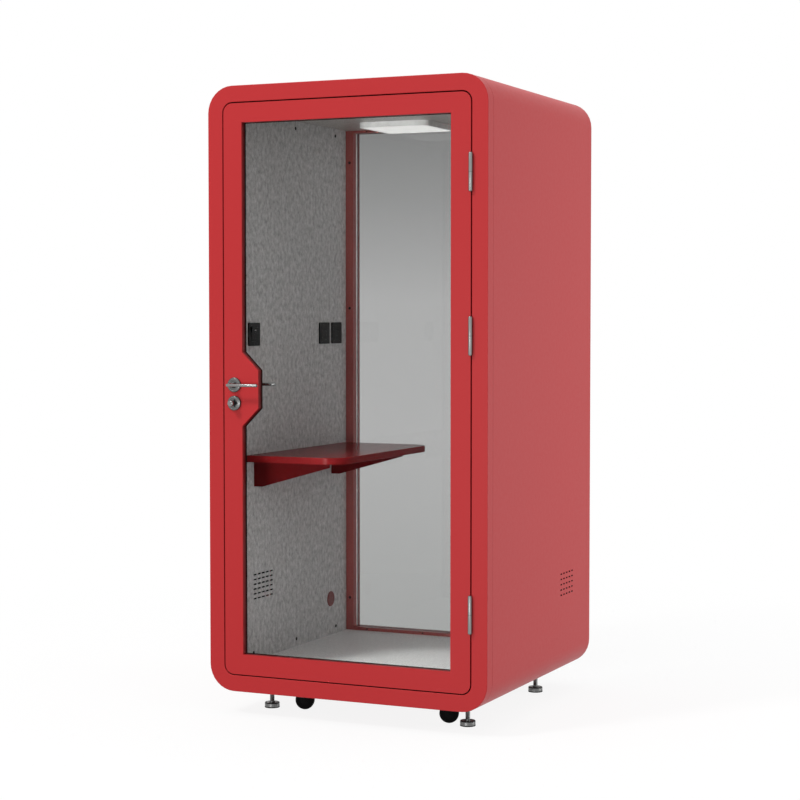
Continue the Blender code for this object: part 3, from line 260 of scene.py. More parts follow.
def felt(name):
    """Pressed grey felt: small clouds over fine fibres, a soft sheen, and painted shade, near black, on its
    faces behind the front face, such as the vent slots.
    """
    material = new_material(name, FELT_LIGHT, 0.96, specular=0.15)
    tree = material.node_tree
    clouds = noise(material, place(material, (1, 1, 0.75)), 58.0, 7.0, 0.74)
    ramp = tinted(material, clouds, FELT_DARK, FELT_LIGHT, 0.32, 0.70)
    from_middle = worked(tree, 'ABSOLUTE', parts_of(material)[X], 0.0)
    slot_shade = tree.nodes.new("ShaderNodeMix")
    slot_shade.data_type = 'RGBA'
    entries = {entry.identifier: entry for entry in slot_shade.inputs}
    behind = worked(tree, 'GREATER_THAN', from_middle, FELT_SKIN + WALL_FACE_X)
    tree.links.new(behind, entries["Factor_Float"])
    tree.links.new(ramp.outputs["Color"], entries["A_Color"])
    entries["B_Color"].default_value = FELT_SLOT_SHADE
    mixed = next(output for output in slot_shade.outputs if output.identifier == "Result_Color")
    feed(material, mixed, "Base Color")
    shader_of(material).inputs["Sheen Weight"].default_value = 0.25
    shader_of(material).inputs["Sheen Roughness"].default_value = 0.6
    bumped(material, noise(material, place(material, (1, 1, 0.6)), 420.0, 5.0, 0.75), 0.6, 0.0012)
    return material


def steel(name, colour, rough, grain=(1, 1, 1)):
    """Satin steel with a fine grain, drawn out where it is stretched."""
    material = new_material(name, colour, rough, 1.0)
    lines = noise(material, place(material, grain), 400.0, 3.0)
    roughened(material, lines, rough - 0.03, rough + 0.04)
    bumped(material, lines, 0.01, 0.0001)
    return material


def plastic(name, colour, rough, specular=0.5):
    """Moulded plastic with a fine spark finish."""
    material = new_material(name, colour, rough, specular=specular)
    vector = place(material)
    tinted(material, noise(material, vector, 30.0), scaled(colour, 0.9), scaled(colour, 1.1))
    roughened(material, noise(material, vector, 200.0), rough - 0.05, rough + 0.05)
    bumped(material, noise(material, vector, 1800.0, 1.0), 0.15, 0.0001)
    return material


def speckled(name, dark, light, rough, scale, specular):
    """Floor covering: close salt and pepper speckle with a low relief."""
    material = new_material(name, light, rough, specular=specular)
    vector = place(material)
    tinted(material, noise(material, vector, scale, 4.0, 0.7), dark, light, 0.35, 0.65)
    roughened(material, noise(material, vector, 12.0), rough - 0.06, rough + 0.08)
    bumped(material, noise(material, vector, scale * 2, 3.0), 0.2, 0.0004)
    return material


def grained(name, dark, light):
    """Plywood or pressed fibre: layers along one direction."""
    material = new_material(name, light, 0.75)
    vector = place(material, (1, 1, 24))
    tinted(material, noise(material, vector, 22.0, 5.0), dark, light)
    bumped(material, noise(material, vector, 160.0), 0.25, 0.0005)
    return material


def clear_glass(name, tint, bend):
    """Clear glass that lets lamps through, so that what is behind it is lit."""
    material = new_material(name, tint, 0.0)
    tree = material.node_tree
    shader = shader_of(material)
    shader.inputs["Transmission Weight"].default_value = 1.0
    shader.inputs["IOR"].default_value = bend
    path = add_node(tree, "ShaderNodeLightPath", {}, {})
    through = add_node(tree, "ShaderNodeBsdfTransparent", {"Color": (*scaled(tint, 0.96), 1)}, {})
    blend(tree, path.outputs["Is Shadow Ray"], shader.outputs["BSDF"], through.outputs["BSDF"],
          "Material Output")
    return material


# Grey of the rear glass at its foot, its top and shares of its height: painted light, paler near the middle,
# for the surroundings seen through it
GLASS_FOOT, GLASS_TOP = (0.40, 0.405, 0.40), (0.235, 0.235, 0.235)
GLASS_PAINTED_LIGHT = ((0.40, 0.465), (0.66, 0.445), (0.86, 0.31))


def smoked_glass(name):
    """Grey rear glass with painted light: a little paler towards its middle height, for the surroundings
    seen through it.
    """
    material = clear_glass(name, (0.5, 0.5, 0.5), 1.45)
    height = spread(material, parts_of(material)[Z], 0, 1, REAR_GLASS_LOW.z, REAR_GLASS_HIGH.z)
    ramp = tinted(material, height, GLASS_FOOT, GLASS_TOP, 0.0, 1.0)
    for share, shade in GLASS_PAINTED_LIGHT:
        stop = ramp.color_ramp.elements.new(share)
        stop.color = (shade, shade, shade, 1)
    return material


def lamp_face(name, colour, strength):
    """Opal diffuser that glows evenly."""
    material = new_material(name, colour, 0.5)
    shader = shader_of(material)
    shader.inputs["Emission Color"].default_value = (*colour, 1)
    shader.inputs["Emission Strength"].default_value = strength
    bumped(material, noise(material, place(material), 700.0, 1.0), 0.1, 0.0002)
    return material


# The booth's own materials
RED = (0.455, 0.022, 0.025)
DARK_RED = (0.40, 0.019, 0.022)
BODY_GLOSS = (0.42, 0.20)
# Depth and darkness of painted shade on door and frame returns, then the doorway's half width, middle and
# half height
DOOR_RETURN_SHADE = (0.026, 0.05)
FRAME_RETURN_SHADE = (0.012, 0.10)
DOORWAY = (0.4925, UNDERSIDE + 1.105, 1.0475)

red_paint = powder_coat("red_paint", RED, *BODY_GLOSS)
# Door and door frame: the red with painted shade on their returns
door_paint_return_shade = return_shaded("door_paint_return_shade", RED, *BODY_GLOSS, *DOOR_RETURN_SHADE)
frame_paint_return_shade = return_shaded("frame_paint_return_shade", RED, *BODY_GLOSS, *FRAME_RETURN_SHADE, DOORWAY)
# The shells: the red with painted shade inside the vent slots
shell_paint = vent_shaded("shell_paint", RED, *BODY_GLOSS)
dark_paint = powder_coat("dark_red_paint", (0.26, 0.065, 0.06), 0.34, 0.28)
# The desk brackets: the dark red darkened further, a painted shade for their place under the desk
painted_shade_red = powder_coat("painted_shade_red", scaled(DARK_RED, 0.22), 0.40, 0.02)
desk_paint = powder_coat("desk_paint", scaled(DARK_RED, 0.42), 0.22, 0.04)
felt_grey = felt("felt")
satin = steel("satin_steel", (0.24, 0.25, 0.245), 0.34, (1, 1, 60))
turned_steel = steel("turned_steel", (0.12, 0.122, 0.12), 0.30)
bright_steel = steel("bright_steel", (0.23, 0.233, 0.23), 0.26)
dark_steel = steel("dark_steel", (0.035, 0.036, 0.037), 0.38)
stem_steel = steel("stem_steel", (0.14, 0.14, 0.138), 0.34)
zinc = steel("zinc", (0.20, 0.202, 0.202), 0.36)
black = plastic("black_plastic", (0.006, 0.006, 0.006), 0.42, 0.15)
black_gloss = plastic("black_gloss", (0.005, 0.005, 0.005), 0.30, 0.15)
black_metal = powder_coat("black_metal", (0.003, 0.003, 0.003), 0.55, 0.05)
rubber = plastic("rubber", (0.004, 0.004, 0.004), 0.75, 0.05)
vinyl = speckled("floor_vinyl", (0.54, 0.536, 0.532), (0.88, 0.875, 0.87), 0.46, 260.0, 0.05)
ceiling = plastic("ceiling_laminate", (0.40, 0.37, 0.35), 0.30, 0.25)
white = plastic("white_plastic", (0.86, 0.86, 0.85), 0.35)
# Pale plastic for the switch's mark, and as a painted highlight on the rear glass's seals
pale_seal = plastic("pale_seal", (0.85, 0.84, 0.84), 0.40)
lamp = lamp_face("lamp", (0.9, 0.9, 0.88), 0.55)
plywood = grained("plywood", (0.32, 0.21, 0.12), (0.50, 0.36, 0.22))
wool = grained("wool", (0.030, 0.030, 0.030), (0.055, 0.054, 0.052))
door_glass = clear_glass("door_glass", (0.97, 0.98, 0.975), 1.05)
rear_glass = smoked_glass("rear_glass")
dark_plastic = plastic("dark_red_plastic", (0.16, 0.022, 0.022), 0.38)

FINISHES = {
    red_paint: ["rear_frame", "door_inner_frame"],
    shell_paint: ["shell_left", "shell_right"],
    door_paint_return_shade: ["door_outer_frame"],
    frame_paint_return_shade: ["front_frame"],
    dark_paint: ["rear_post_left", "rear_post_right", "rear_rail_top", "rear_rail_bottom"],
    painted_shade_red: ["desk_bracket_front", "desk_bracket_rear"],
    desk_paint: ["desk_top"],
    felt_grey: ["felt_wall_left", "felt_wall_right"],
    ceiling: ["ceiling_panel"],
    vinyl: ["floor_covering"],
    plywood: ["floor_board"],
    wool: ["insulation"],
    zinc: ["base_frame"],
    door_glass: ["door_glass"],
    rear_glass: ["rear_glass"],
    white: ["light_housing"],
    lamp: ["light_diffuser"],
    dark_plastic: ["cable_cover"],
    black: ["socket_front", "socket_rear", "switch_plate", "switch_rocker", "fan_housing", "fan_rotor"],
    satin: ["strike_plate", "lock_case", "inner_plate", "latch_bolt", "deadbolt"]
    + [f"hinge_{half}_{k}" for half in ("frame", "door") for k in HINGES],
    turned_steel: ["outer_rose", "outer_escutcheon"],
    bright_steel: ["lever_outside", "lever_inside", "thumb_turn"],
    stem_steel: [f"foot_{corner}" for corner in CORNERS],
    black_metal: [f"caster_fork_{corner}" for corner in CORNERS],
    rubber: ["door_seal"] + [f"caster_wheel_{corner}" for corner in CORNERS],
}

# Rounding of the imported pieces' edges
EDGES = {
    0.0011: ["front_frame", "rear_frame", "door_outer_frame"],
    0.0008: ["door_inner_frame", "rear_post_left", "rear_post_right", "rear_rail_top", "rear_rail_bottom",
             "desk_bracket_front", "desk_bracket_rear"],
    0.0020: ["desk_top"],
    0.0006: ["strike_plate", "inner_plate", "switch_plate", "socket_front", "socket_rear", "switch_rocker"],
}
WELD_DISTANCE = 1e-6
FLAT_ANGLE = math.radians(0.3)
SMOOTH_ANGLE = math.radians(35)
BEVEL_ANGLE = math.radians(40)


def soften(name, width):
    """Welds a node's facets, shades its round faces smooth and rounds or splits its sharp edges."""
    node = nodes[name]
    mesh = node.data
    if "custom_normal" in mesh.attributes:
        mesh.attributes.remove(mesh.attributes["custom_normal"])
    mesh.shade_smooth()
    weld = node.modifiers.new("Weld", 'WELD')
    weld.merge_threshold = WELD_DISTANCE
    flat = node.modifiers.new("Flatten", 'DECIMATE')
    flat.decimate_type = 'DISSOLVE'
    flat.angle_limit = FLAT_ANGLE
    if width:
        bevel = node.modifiers.new("Bevel", 'BEVEL')
        bevel.width = width
        bevel.segments = 2
        bevel.limit_method = 'ANGLE'
        bevel.angle_limit = BEVEL_ANGLE
        bevel.harden_normals = True
    else:
        split = node.modifiers.new("Sharp", 'EDGE_SPLIT')
        split.split_angle = SMOOTH_ANGLE


def finish_nodes():
    """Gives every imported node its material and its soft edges."""
    for material, names in FINISHES.items():
        for name in names:
            mesh = nodes[name].data
            mesh.materials.clear()
            mesh.materials.append(material)
    widths = {name: width for width, names in EDGES.items() for name in names}
    for name in nodes:
        soften(name, widths.get(name, 0))


# Makers of added pieces

def piece(name, mesh, material, body, place_at, axis=UP):
    """An added piece: its mesh stands on a point and looks along an axis."""
    mesh.materials.clear()
    mesh.materials.append(material)
    made = bpy.data.objects.new(name, mesh)
    made.location = place_at
    made.rotation_euler = Vector(UP).rotation_difference(Vector(axis)).to_euler()
    bpy.context.scene.collection.objects.link(made)
    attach(made, body)
    return made


def smoothed(mesh):
    """The mesh with round faces smooth and sharp edges kept."""
    mesh.shade_smooth()
    mesh.set_sharp_from_angle(angle=SMOOTH_ANGLE)
    return mesh


def to_mesh(name, shape):
    """A bmesh turned into a mesh."""
    mesh = bpy.data.meshes.new(name)
    shape.to_mesh(mesh)
    shape.free()
    return mesh


def meshed(name, shape):
    """Smoothed mesh of a bmesh, with its faces turned outwards."""
    bmesh.ops.recalc_face_normals(shape, faces=shape.faces)
    return smoothed(to_mesh(name, shape))


def belt(shape, rows, closed):
    """Faces between each row of points and the next one."""
    pairs = list(zip(rows, rows[1:]))
    if closed:
        pairs.append((rows[-1], rows[0]))
    for near, far in pairs:
        for j in range(len(near)):
            k = (j + 1) % len(near)
            corners = [near[j], near[k], far[k], far[j]]
            if near[j] is near[k]:
                corners = [near[j], far[k], far[j]]
            elif far[j] is far[k]:
                corners = [near[j], near[k], far[k]]
            shape.faces.new(corners)


def lathe(name, profile, steps, closed=False):
    """A turned mesh from radius and height."""
    shape = bmesh.new()
    turns = [math.tau * step / steps for step in range(steps)]
    rows = []
    for radius, height in profile:
        if radius == 0:
            rows.append([shape.verts.new((0, 0, height))] * steps)
        else:
            rows.append([shape.verts.new((radius * math.cos(turn), radius * math.sin(turn), height))
                         for turn in turns])
    belt(shape, rows, closed)
    return meshed(name, shape)


def banded(name, section, line):
    """A ring along an outline, from a section of outward distance and height and the outline's maker."""
    shape = bmesh.new()
    rows = [[shape.verts.new((u, v, height)) for u, v in line(distance)] for distance, height in section]
    belt(shape, rows, True)
    return meshed(name, shape)


def plate(name, points, depth, bevel):
    """A flat outline with thickness and a soft front edge."""
    shape = bmesh.new()
    low = [shape.verts.new((u, v, 0)) for u, v in points]
    high = [shape.verts.new((u, v, depth)) for u, v in points]
    shape.faces.new(low[::-1])
    top = shape.faces.new(high)
    belt(shape, [low, high], False)
    bmesh.ops.bevel(shape, geom=list(top.edges), offset=bevel, segments=2, profile=0.5, affect='EDGES')
    return meshed(name, shape)


def carved(mesh, *tools):
    """The mesh with the tools' meshes cut away."""
    body = bpy.data.objects.new("carved", mesh)
    bpy.context.scene.collection.objects.link(body)
    cutters = []
    for tool in tools:
        cutter = bpy.data.objects.new("tool", tool)
        bpy.context.scene.collection.objects.link(cutter)
        step = body.modifiers.new("Cut", 'BOOLEAN')
        step.object = cutter
        cutters.append(cutter)
    bpy.context.view_layer.update()
    result = bpy.data.meshes.new_from_object(body.evaluated_get(bpy.context.evaluated_depsgraph_get()))
    for thing in (body, *cutters):
        bpy.data.objects.remove(thing, do_unlink=True)
    return smoothed(result)


def block(low, high):
    """Mesh of an upright block, used to carve."""
    low, high = Vector(low), Vector(high)
    shape = bmesh.new()
    size = Matrix.Diagonal((*(high - low), 1))
    bmesh.ops.create_cube(shape, size=1, matrix=Matrix.Translation((low + high) / 2) @ size)
    return to_mesh("block", shape)


def groove(half_length, half_width, low, high):
    """A block that carves a slot through the middle, long in X."""
    return block((-half_length, -half_width, low), (half_length, half_width, high))


def rounded(width, height, radius, steps=6):
    """Outline of a rectangle with round corners, about its middle."""
    points = []
    for sign_x, sign_y, start in ((1, -1, -90), (1, 1, 0), (-1, 1, 90), (-1, -1, 180)):
        u, v = sign_x * (width / 2 - radius), sign_y * (height / 2 - radius)
        for step in range(steps + 1):
            angle = math.radians(start + 90 * step / steps)
            points.append((u + radius * math.cos(angle), v + radius * math.sin(angle)))
    return points


def grown(points, distance):
    """A closed outline that runs anticlockwise, with each side moved outwards."""
    moved = []
    for before, here, after in zip(points[-1:] + points[:-1], points, points[1:] + points[:1]):
        normals = [Vector((b[1] - a[1], a[0] - b[0])).normalized()
                   for a, b in ((before, here), (here, after))]
        shift = (normals[0] + normals[1]) * distance / (1 + normals[0].dot(normals[1]))
        moved.append((here[0] + shift.x, here[1] + shift.y))
    return moved


# How deep a screw's head sinks in, and the cross in it as shares of its radius and height
HEAD_SINK = 0.0002
CROSS_LENGTH, CROSS_WIDTH, CROSS_FLOOR = 0.55, 0.13, 0.45


def screw_head(name, radius, height):
    """A domed screw head with a cross recess."""
    rises = [math.radians(degrees) for degrees in range(0, 90, 15)]
    dome = [(radius * math.cos(rise), height * math.sin(rise)) for rise in rises]
    head = lathe(name, [(0, -HEAD_SINK), (radius, -HEAD_SINK), *dome, (0, height)], 28)
    arm, slit = radius * CROSS_LENGTH, radius * CROSS_WIDTH
    floor, over = height * CROSS_FLOOR, height * 2
    return carved(head, groove(arm, slit, floor, over), groove(slit, arm, floor, over))


def screws(label, mesh, material, body, places, axis):
    """A row of screws that share one mesh."""
    for k, place_at in enumerate(places):
        piece(f"{label}_{k + 1}", mesh, material, body, place_at, axis)


def black_screws(label, mesh, places, axis):
    """A row of black screws in the booth's fixed parts."""
    screws(label, mesh, black, "booth", places, axis)


# Radius and height of the screw heads
WALL_SCREW = (0.0068, 0.0018)
POST_SCREW = (0.0056, 0.0016)
RAIL_SCREW = (0.0034, 0.0012)
PLATE_SCREW = (0.0030, 0.0007)
BRACKET_SCREW = (0.0036, 0.0013)

# Places of the wall screws, back from the door's face and up, and of the screws along posts and rails
WALL_SCREW_PLACES = ((0.212, 0.106), (0.560, 0.106), (0.909, 0.106),
                     (0.212, 2.106), (0.563, 2.106), (0.910, 2.106))
POST_SCREW_Z = (0.211, 0.811, 1.408, 2.004)
RAIL_SCREW_X = (-0.389, -0.138, 0.138, 0.389)


def dress_walls():
    """Black screws that hold the felt walls, the rear posts and the rails."""
    wall_head = screw_head("wall_screw", *WALL_SCREW)
    post_head = screw_head("post_screw", *POST_SCREW)
    for label, side in SIDES.items():
        black_screws(f"wall_screw_{label}", wall_head,
                     [at(side * WALL_FACE_X, y, z) for y, z in WALL_SCREW_PLACES], (-side, 0, 0))
        x = side * (WALL_FACE_X - POST_HIGH.x) / 2
        black_screws(f"post_screw_{label}", post_head,
                     [Vector((x, POST_LOW.y, UNDERSIDE + z)) for z in POST_SCREW_Z], FORWARD)
    rail_head = screw_head("rail_screw", *RAIL_SCREW)
    for label, z in (("bottom", (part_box("floor_covering")[1].z + SILL_Z) / 2),
                     ("top", (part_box("ceiling_panel")[0].z + HEAD_Z) / 2)):
        black_screws(f"rail_screw_{label}", rail_head,
                     [Vector((x, POST_LOW.y, z)) for x in RAIL_SCREW_X], FORWARD)


# Outline of the door's window, from the middle and up, round the bulge that carries the lock
LOCK_Z = 1.110
WINDOW_X = 0.4115
WINDOW_FOOT, WINDOW_TOP = 0.1385, 2.076
BULGE_X = -0.3455
BULGE_FLAT, BULGE_HALF = 0.0685, 0.1345
WINDOW = [(-WINDOW_X, WINDOW_FOOT), (WINDOW_X, WINDOW_FOOT), (WINDOW_X, WINDOW_TOP), (-WINDOW_X, WINDOW_TOP),
          (-WINDOW_X, LOCK_Z + BULGE_HALF), (BULGE_X, LOCK_Z + BULGE_FLAT), (BULGE_X, LOCK_Z - BULGE_FLAT),
          (-WINDOW_X, LOCK_Z - BULGE_HALF)]
GASKET = [(-0.0004, 0.0), (-0.0004, 0.0022), (-0.0012, 0.0026), (-0.0024, 0.0012), (-0.0024, 0.0)]
INNER_ROOM = 0.012
# The rear glass's seals, pale as a painted highlight beside the posts: width, depth and play
SEAL_WIDTH, SEAL_DEPTH, SEAL_PLAY = 0.0034, 0.0024, 0.0002


def dress_glass():
    """Gaskets of the door's glass, and pale seals of the rear glass whose paleness is a painted highlight
    along the posts' edges.
    """
    for label, room, y, towards in (("outer", 0.0, GLASS_LOW.y, -1), ("inner", INNER_ROOM, GLASS_HIGH.y, 1)):
        section = [(room + outward, height) for outward, height in GASKET]
        strip = banded(f"door_gasket_{label}", section,
                       lambda distance: [(u, towards * -v) for u, v in grown(WINDOW, distance)])
        piece(f"door_gasket_{label}", strip, rubber, "door",
              Vector((0, y, UNDERSIDE)), (0, towards, 0))
    length = HEAD_Z - SILL_Z - 0.002
    bar = plate("rear_highlight_seal", rounded(SEAL_WIDTH, length, 0.0012, 3), SEAL_DEPTH, 0.0006)
    for label, side in SIDES.items():
        x = side * (-POST_HIGH.x - SEAL_WIDTH / 2 - SEAL_PLAY)
        for end, y, axis in (("front", REAR_GLASS_LOW.y, FORWARD), ("back", REAR_GLASS_HIGH.y, BACKWARD)):
            piece(f"rear_seal_{end}_{label}", bar, pale_seal, "booth",
                  Vector((x, y, (HEAD_Z + SILL_Z) / 2)), axis)


# Lock: places from the middle and up, and turned sections of radius and height
SPINDLE_X, LEVER_Z, CYLINDER_Z = -0.443, 1.1257, 1.0592
ROSE_FACE_Y = -0.008
ROSE_RING = [(0.0222, 0), (0.0220, 0.0006), (0.0212, 0.0009), (0.0204, 0.0006), (0.0202, 0)]
KEY_FACE = [(0, 0), (0.0086, 0), (0.0086, 0.0004), (0.0080, 0.0009), (0, 0.0009)]
KEY_SLOT, KEY_HOLE = (0.0036, 0.0007), (0.0012, 0.0012)
KEY_FLOOR, KEY_OVER = 0.0002, 0.002
# The dark collar round the knob, a painted shade for the knob's shadow and the cylinder's dark side: a lobed
# outer line, and a round bore marked by the distance -1
BORE = -1
COLLAR = [(BORE, 0), (BORE, 0.0012), (0.0150, 0.0012), (0.0158, 0.0006), (0.0158, 0)]
COLLAR_BORE = 0.0056
COLLAR_LOBES = 5
LOBE_DEPTH = 0.26
# The lock's face plate on the door's edge: width, height and corner, its holes' halves and its screws
LOCK_FACE = (0.022, 0.180, 0.004)
LOCK_FACE_Y = 0.025
LOCK_FACE_THICKNESS = 0.0008
BOLT_HOLE_HALF = 0.0056
LATCH_HOLE_HALF, DEADBOLT_HOLE_HALF = 0.0086, 0.0126
LOCK_FACE_SCREWS, STRIKE_SCREWS = 0.080, 0.075
INNER_PLATE_INSET = 0.010


def lobed(distance, steps=80):
    """Outline with round lobes at a distance from the middle, or the collar's bore."""
    line = []
    for step in range(steps):
        angle = math.tau * step / steps
        lobe = 1 - LOBE_DEPTH + LOBE_DEPTH * math.cos(COLLAR_LOBES * angle)
        radius = COLLAR_BORE if distance == BORE else distance * lobe
        line.append((radius * math.cos(angle), radius * math.sin(angle)))
    return line


def dress_lock_front():
    """Rings on rose and escutcheon, the dark collar that stands in as painted shade round the knob, and the
    key slot.
    """
    ring = lathe("rose_ring", ROSE_RING, 56, True)
    for label, z in (("lever", LEVER_Z), ("knob", CYLINDER_Z)):
        piece(f"rose_ring_{label}", ring, bright_steel, "door",
              at(SPINDLE_X, ROSE_FACE_Y, z), FORWARD)
    collar = banded("knob_shade_collar", COLLAR, lobed)
    piece("knob_shade_collar", collar, dark_steel, "door",
          at(SPINDLE_X, ROSE_FACE_Y, CYLINDER_Z), FORWARD)
    cap = carved(lathe("key_face", KEY_FACE, 40), groove(*KEY_SLOT, KEY_FLOOR, KEY_OVER),
                 groove(*KEY_HOLE, KEY_FLOOR, KEY_OVER))
    knob_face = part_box("thumb_turn")[0].y
    piece("key_face", cap, bright_steel, "knob",
          Vector((SPINDLE_X, knob_face, UNDERSIDE + CYLINDER_Z)), FORWARD)


def dress_lock_edge():
    """The lock's face plate with its bolt holes, and the screws of lock, strike and inner plate."""
    holes = [block((-BOLT_HOLE_HALF, z - LOCK_Z - tall, -1), (BOLT_HOLE_HALF, z - LOCK_Z + tall, 1))
             for z, tall in ((LEVER_Z, LATCH_HOLE_HALF), (CYLINDER_Z, DEADBOLT_HOLE_HALF))]
    face = carved(plate("lock_face", rounded(*LOCK_FACE), LOCK_FACE_THICKNESS, 0.0003), *holes)
    made = piece("lock_face", face, bright_steel, "door",
                 at(DOOR_EDGE_X, LOCK_FACE_Y, LOCK_Z))
    made.rotation_euler = Matrix(((0, 0, -1), (-1, 0, 0), (0, 1, 0))).to_euler()
    head = screw_head("plate_screw", *PLATE_SCREW)
    strike_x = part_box("strike_plate")[1].x
    inner_low, inner_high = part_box("inner_plate")
    screws("lock_face_screw", head, bright_steel, "door",
           [at(DOOR_EDGE_X - LOCK_FACE_THICKNESS, LOCK_FACE_Y, LOCK_Z + way * LOCK_FACE_SCREWS)
            for way in (-1, 1)], LEFTWARD)
    screws("strike_screw", head, bright_steel, "booth",
           [at(strike_x, LOCK_FACE_Y, LOCK_Z + way * STRIKE_SCREWS) for way in (-1, 1)], RIGHTWARD)
    screws("inner_plate_screw", head, bright_steel, "door",
           [Vector((SPINDLE_X, inner_high.y, z))
            for z in (inner_low.z + INNER_PLATE_INSET, inner_high.z - INNER_PLATE_INSET)], BACKWARD)


# Hinges: sections of radius and height, and half the gap between a hinge's two leaves
WASHER = [(0.0060, -0.0005), (0.0077, -0.0005), (0.0077, 0.0005), (0.0060, 0.0005)]
HINGE_CAP = [(0.0046, 0), (0.0046, 0.0003), (0.0030, 0.0010), (0.0012, 0.0012), (0, 0.0012)]
HALF_SPLIT = 0.0003


def dress_hinges():
    """A dark washer line at each hinge's split and a turned cap at its ends."""
    washer = lathe("hinge_washer", WASHER, 32, True)
    cap = lathe("hinge_cap", HINGE_CAP, 28)
    for k in HINGES:
        low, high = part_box(f"hinge_frame_{k}")
        door_low, door_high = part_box(f"hinge_door_{k}")
        x, y = (low.x + high.x) / 2, low.y + (high.x - low.x) / 2
        piece(f"hinge_washer_{k}", washer, dark_steel, "booth",
              Vector((x, y, door_low.z - HALF_SPLIT)))
        piece(f"hinge_cap_low_{k}", cap, bright_steel, "booth", Vector((x, y, low.z)), DOWN)
        piece(f"hinge_cap_high_{k}", cap, bright_steel, "door", Vector((x, y, door_high.z)))


# Places of the brackets' screws: inwards from the bracket's faces, along the desk, and up the wall
BRACKET_SCREW_BACK = 0.011
BRACKET_SCREW_IN = 0.004
BRACKET_SCREW_X = (-0.430, -0.310, -0.190)
BRACKET_SCREW_RISE = (0.018, 0.062)


def dress_desk():
    """Screws that hold the brackets to desk and wall."""
    head = screw_head("bracket_screw", *BRACKET_SCREW)
    for end in ENDS:
        low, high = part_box(f"desk_bracket_{end}")
        y = high.y - BRACKET_SCREW_BACK
        black_screws(f"bracket_screw_{end}", head,
                     [Vector((x, y, high.z - BRACKET_SCREW_IN)) for x in BRACKET_SCREW_X], DOWN)
        black_screws(f"bracket_wall_screw_{end}", head,
                     [Vector((low.x + BRACKET_SCREW_IN, y, low.z + rise)) for rise in BRACKET_SCREW_RISE],
                     RIGHTWARD)


# Fittings: sections of outward distance or radius, and height
PANEL_SIZE, PANEL_CORNER = 0.060, 0.005
PANEL = [(0, 0), (0, 0.0005), (-0.0006, 0.0008), (-0.0022, 0.0008), (-0.0026, 0.0005), (-0.0026, 0)]
ROCKER_TILT = math.radians(4)
MARK_DROP, MARK_SINK = 0.0115, 0.0008
CABLE_RING = [(0.0262, 0), (0.0258, 0.0005), (0.0246, 0.0007), (0.0234, 0.0005), (0.0230, 0)]
LIGHT_CORNER = 0.035
LIGHT_LIP = [(-0.0104, 0), (-0.0100, 0.0005), (-0.0088, 0.0008), (-0.0078, 0.0005), (-0.0076, 0)]


def dress_fittings():
    """Raised panels of the wall plates, the switch's mark, and rims of cable cover and light."""
    panel = banded("plate_panel", PANEL, lambda distance: rounded(
        PANEL_SIZE + 2 * distance, PANEL_SIZE + 2 * distance, PANEL_CORNER + distance))
    for name in ("socket_front", "socket_rear", "switch_plate"):
        piece(f"{name}_panel", panel, black_gloss, "booth",
              face_middle(name, X, True), RIGHTWARD)
    mark = plate("switch_mark", rounded(0.0016, 0.0120, 0.0007, 4), 0.0005, 0.0002)
    rocker_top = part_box("switch_rocker")[1].z
    middle = face_middle("switch_rocker", X, True)
    piece("switch_mark", mark, pale_seal, "rocker",
          Vector((middle.x - MARK_SINK, middle.y, rocker_top - MARK_DROP)),
          (math.cos(ROCKER_TILT), 0, -math.sin(ROCKER_TILT)))
    piece("cable_ring", lathe("cable_ring", CABLE_RING, 64, True), dark_plastic, "booth",
          face_middle("cable_cover", X, True), RIGHTWARD)
    low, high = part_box("light_housing")
    lip = banded("light_lip", LIGHT_LIP, lambda distance: rounded(
        high.x - low.x + 2 * distance, high.y - low.y + 2 * distance, LIGHT_CORNER + distance, 10))
    piece("light_lip", lip, white, "booth", face_middle("light_housing", Z, False), DOWN)


# Levelling feet
FOOT_RADIUS, FOOT_PAD = 0.0275, 0.0195
THREAD_START, THREAD_PITCH, THREAD_TURNS = 0.0250, 0.0016, 52
THREAD_CORE, THREAD_ROOT, THREAD_CREST = 0.0078, 0.00822, 0.00850
RIM_HEIGHTS = (0.0046, 0.0088, 0.0130)
# Sections of the rims, the sole and the crown: distance out from the pad's radius, and height
RIM = [(-0.0004, 0), (0.0003, 0.0003), (0.0003, 0.0023), (-0.0004, 0.0026)]
SOLE = [(-0.0030, 0.0002), (0.0002, 0.0002), (0.0006, 0.0010), (0.0006, 0.0036), (-0.0004, 0.0040)]
CROWN = [(0.0002, -0.0036), (0.0004, -0.0020), (-0.0012, 0.0001), (-0.0040, 0.0004), (-0.0060, 0)]


def round_pad(name, section, height):
    """A turned mesh round a foot's pad."""
    return lathe(name, [(FOOT_RADIUS + outward, height + up) for outward, up in section], 48)


def dress_feet():
    """Threads on the stems, and a rubber sole and turned rims on each foot's pad."""
    flanks = [THREAD_START + k * THREAD_PITCH / 2 for k in range(2 * THREAD_TURNS + 1)]
    thread = [((THREAD_ROOT, THREAD_CREST)[k % 2], z) for k, z in enumerate(flanks)]
    threads = lathe("foot_thread", [(THREAD_CORE, flanks[0]), *thread, (THREAD_CORE, flanks[-1])], 28)
    rims = [round_pad(f"foot_rim_{k}", RIM, height) for k, height in enumerate(RIM_HEIGHTS)]
    sole = round_pad("foot_sole", SOLE, 0)
    crown = round_pad("foot_crown", CROWN, FOOT_PAD)
    for corner in CORNERS:
        body = f"foot_{corner}"
        centre = face_middle(body, Z, False)
        piece(f"{body}_thread", threads, stem_steel, body, centre)
        piece(f"{body}_sole", sole, rubber, body, centre)
        piece(f"{body}_crown", crown, dark_steel, body, centre)
        for k, rim in enumerate(rims):
            piece(f"{body}_rim_{k + 1}", rim, zinc, body, centre)


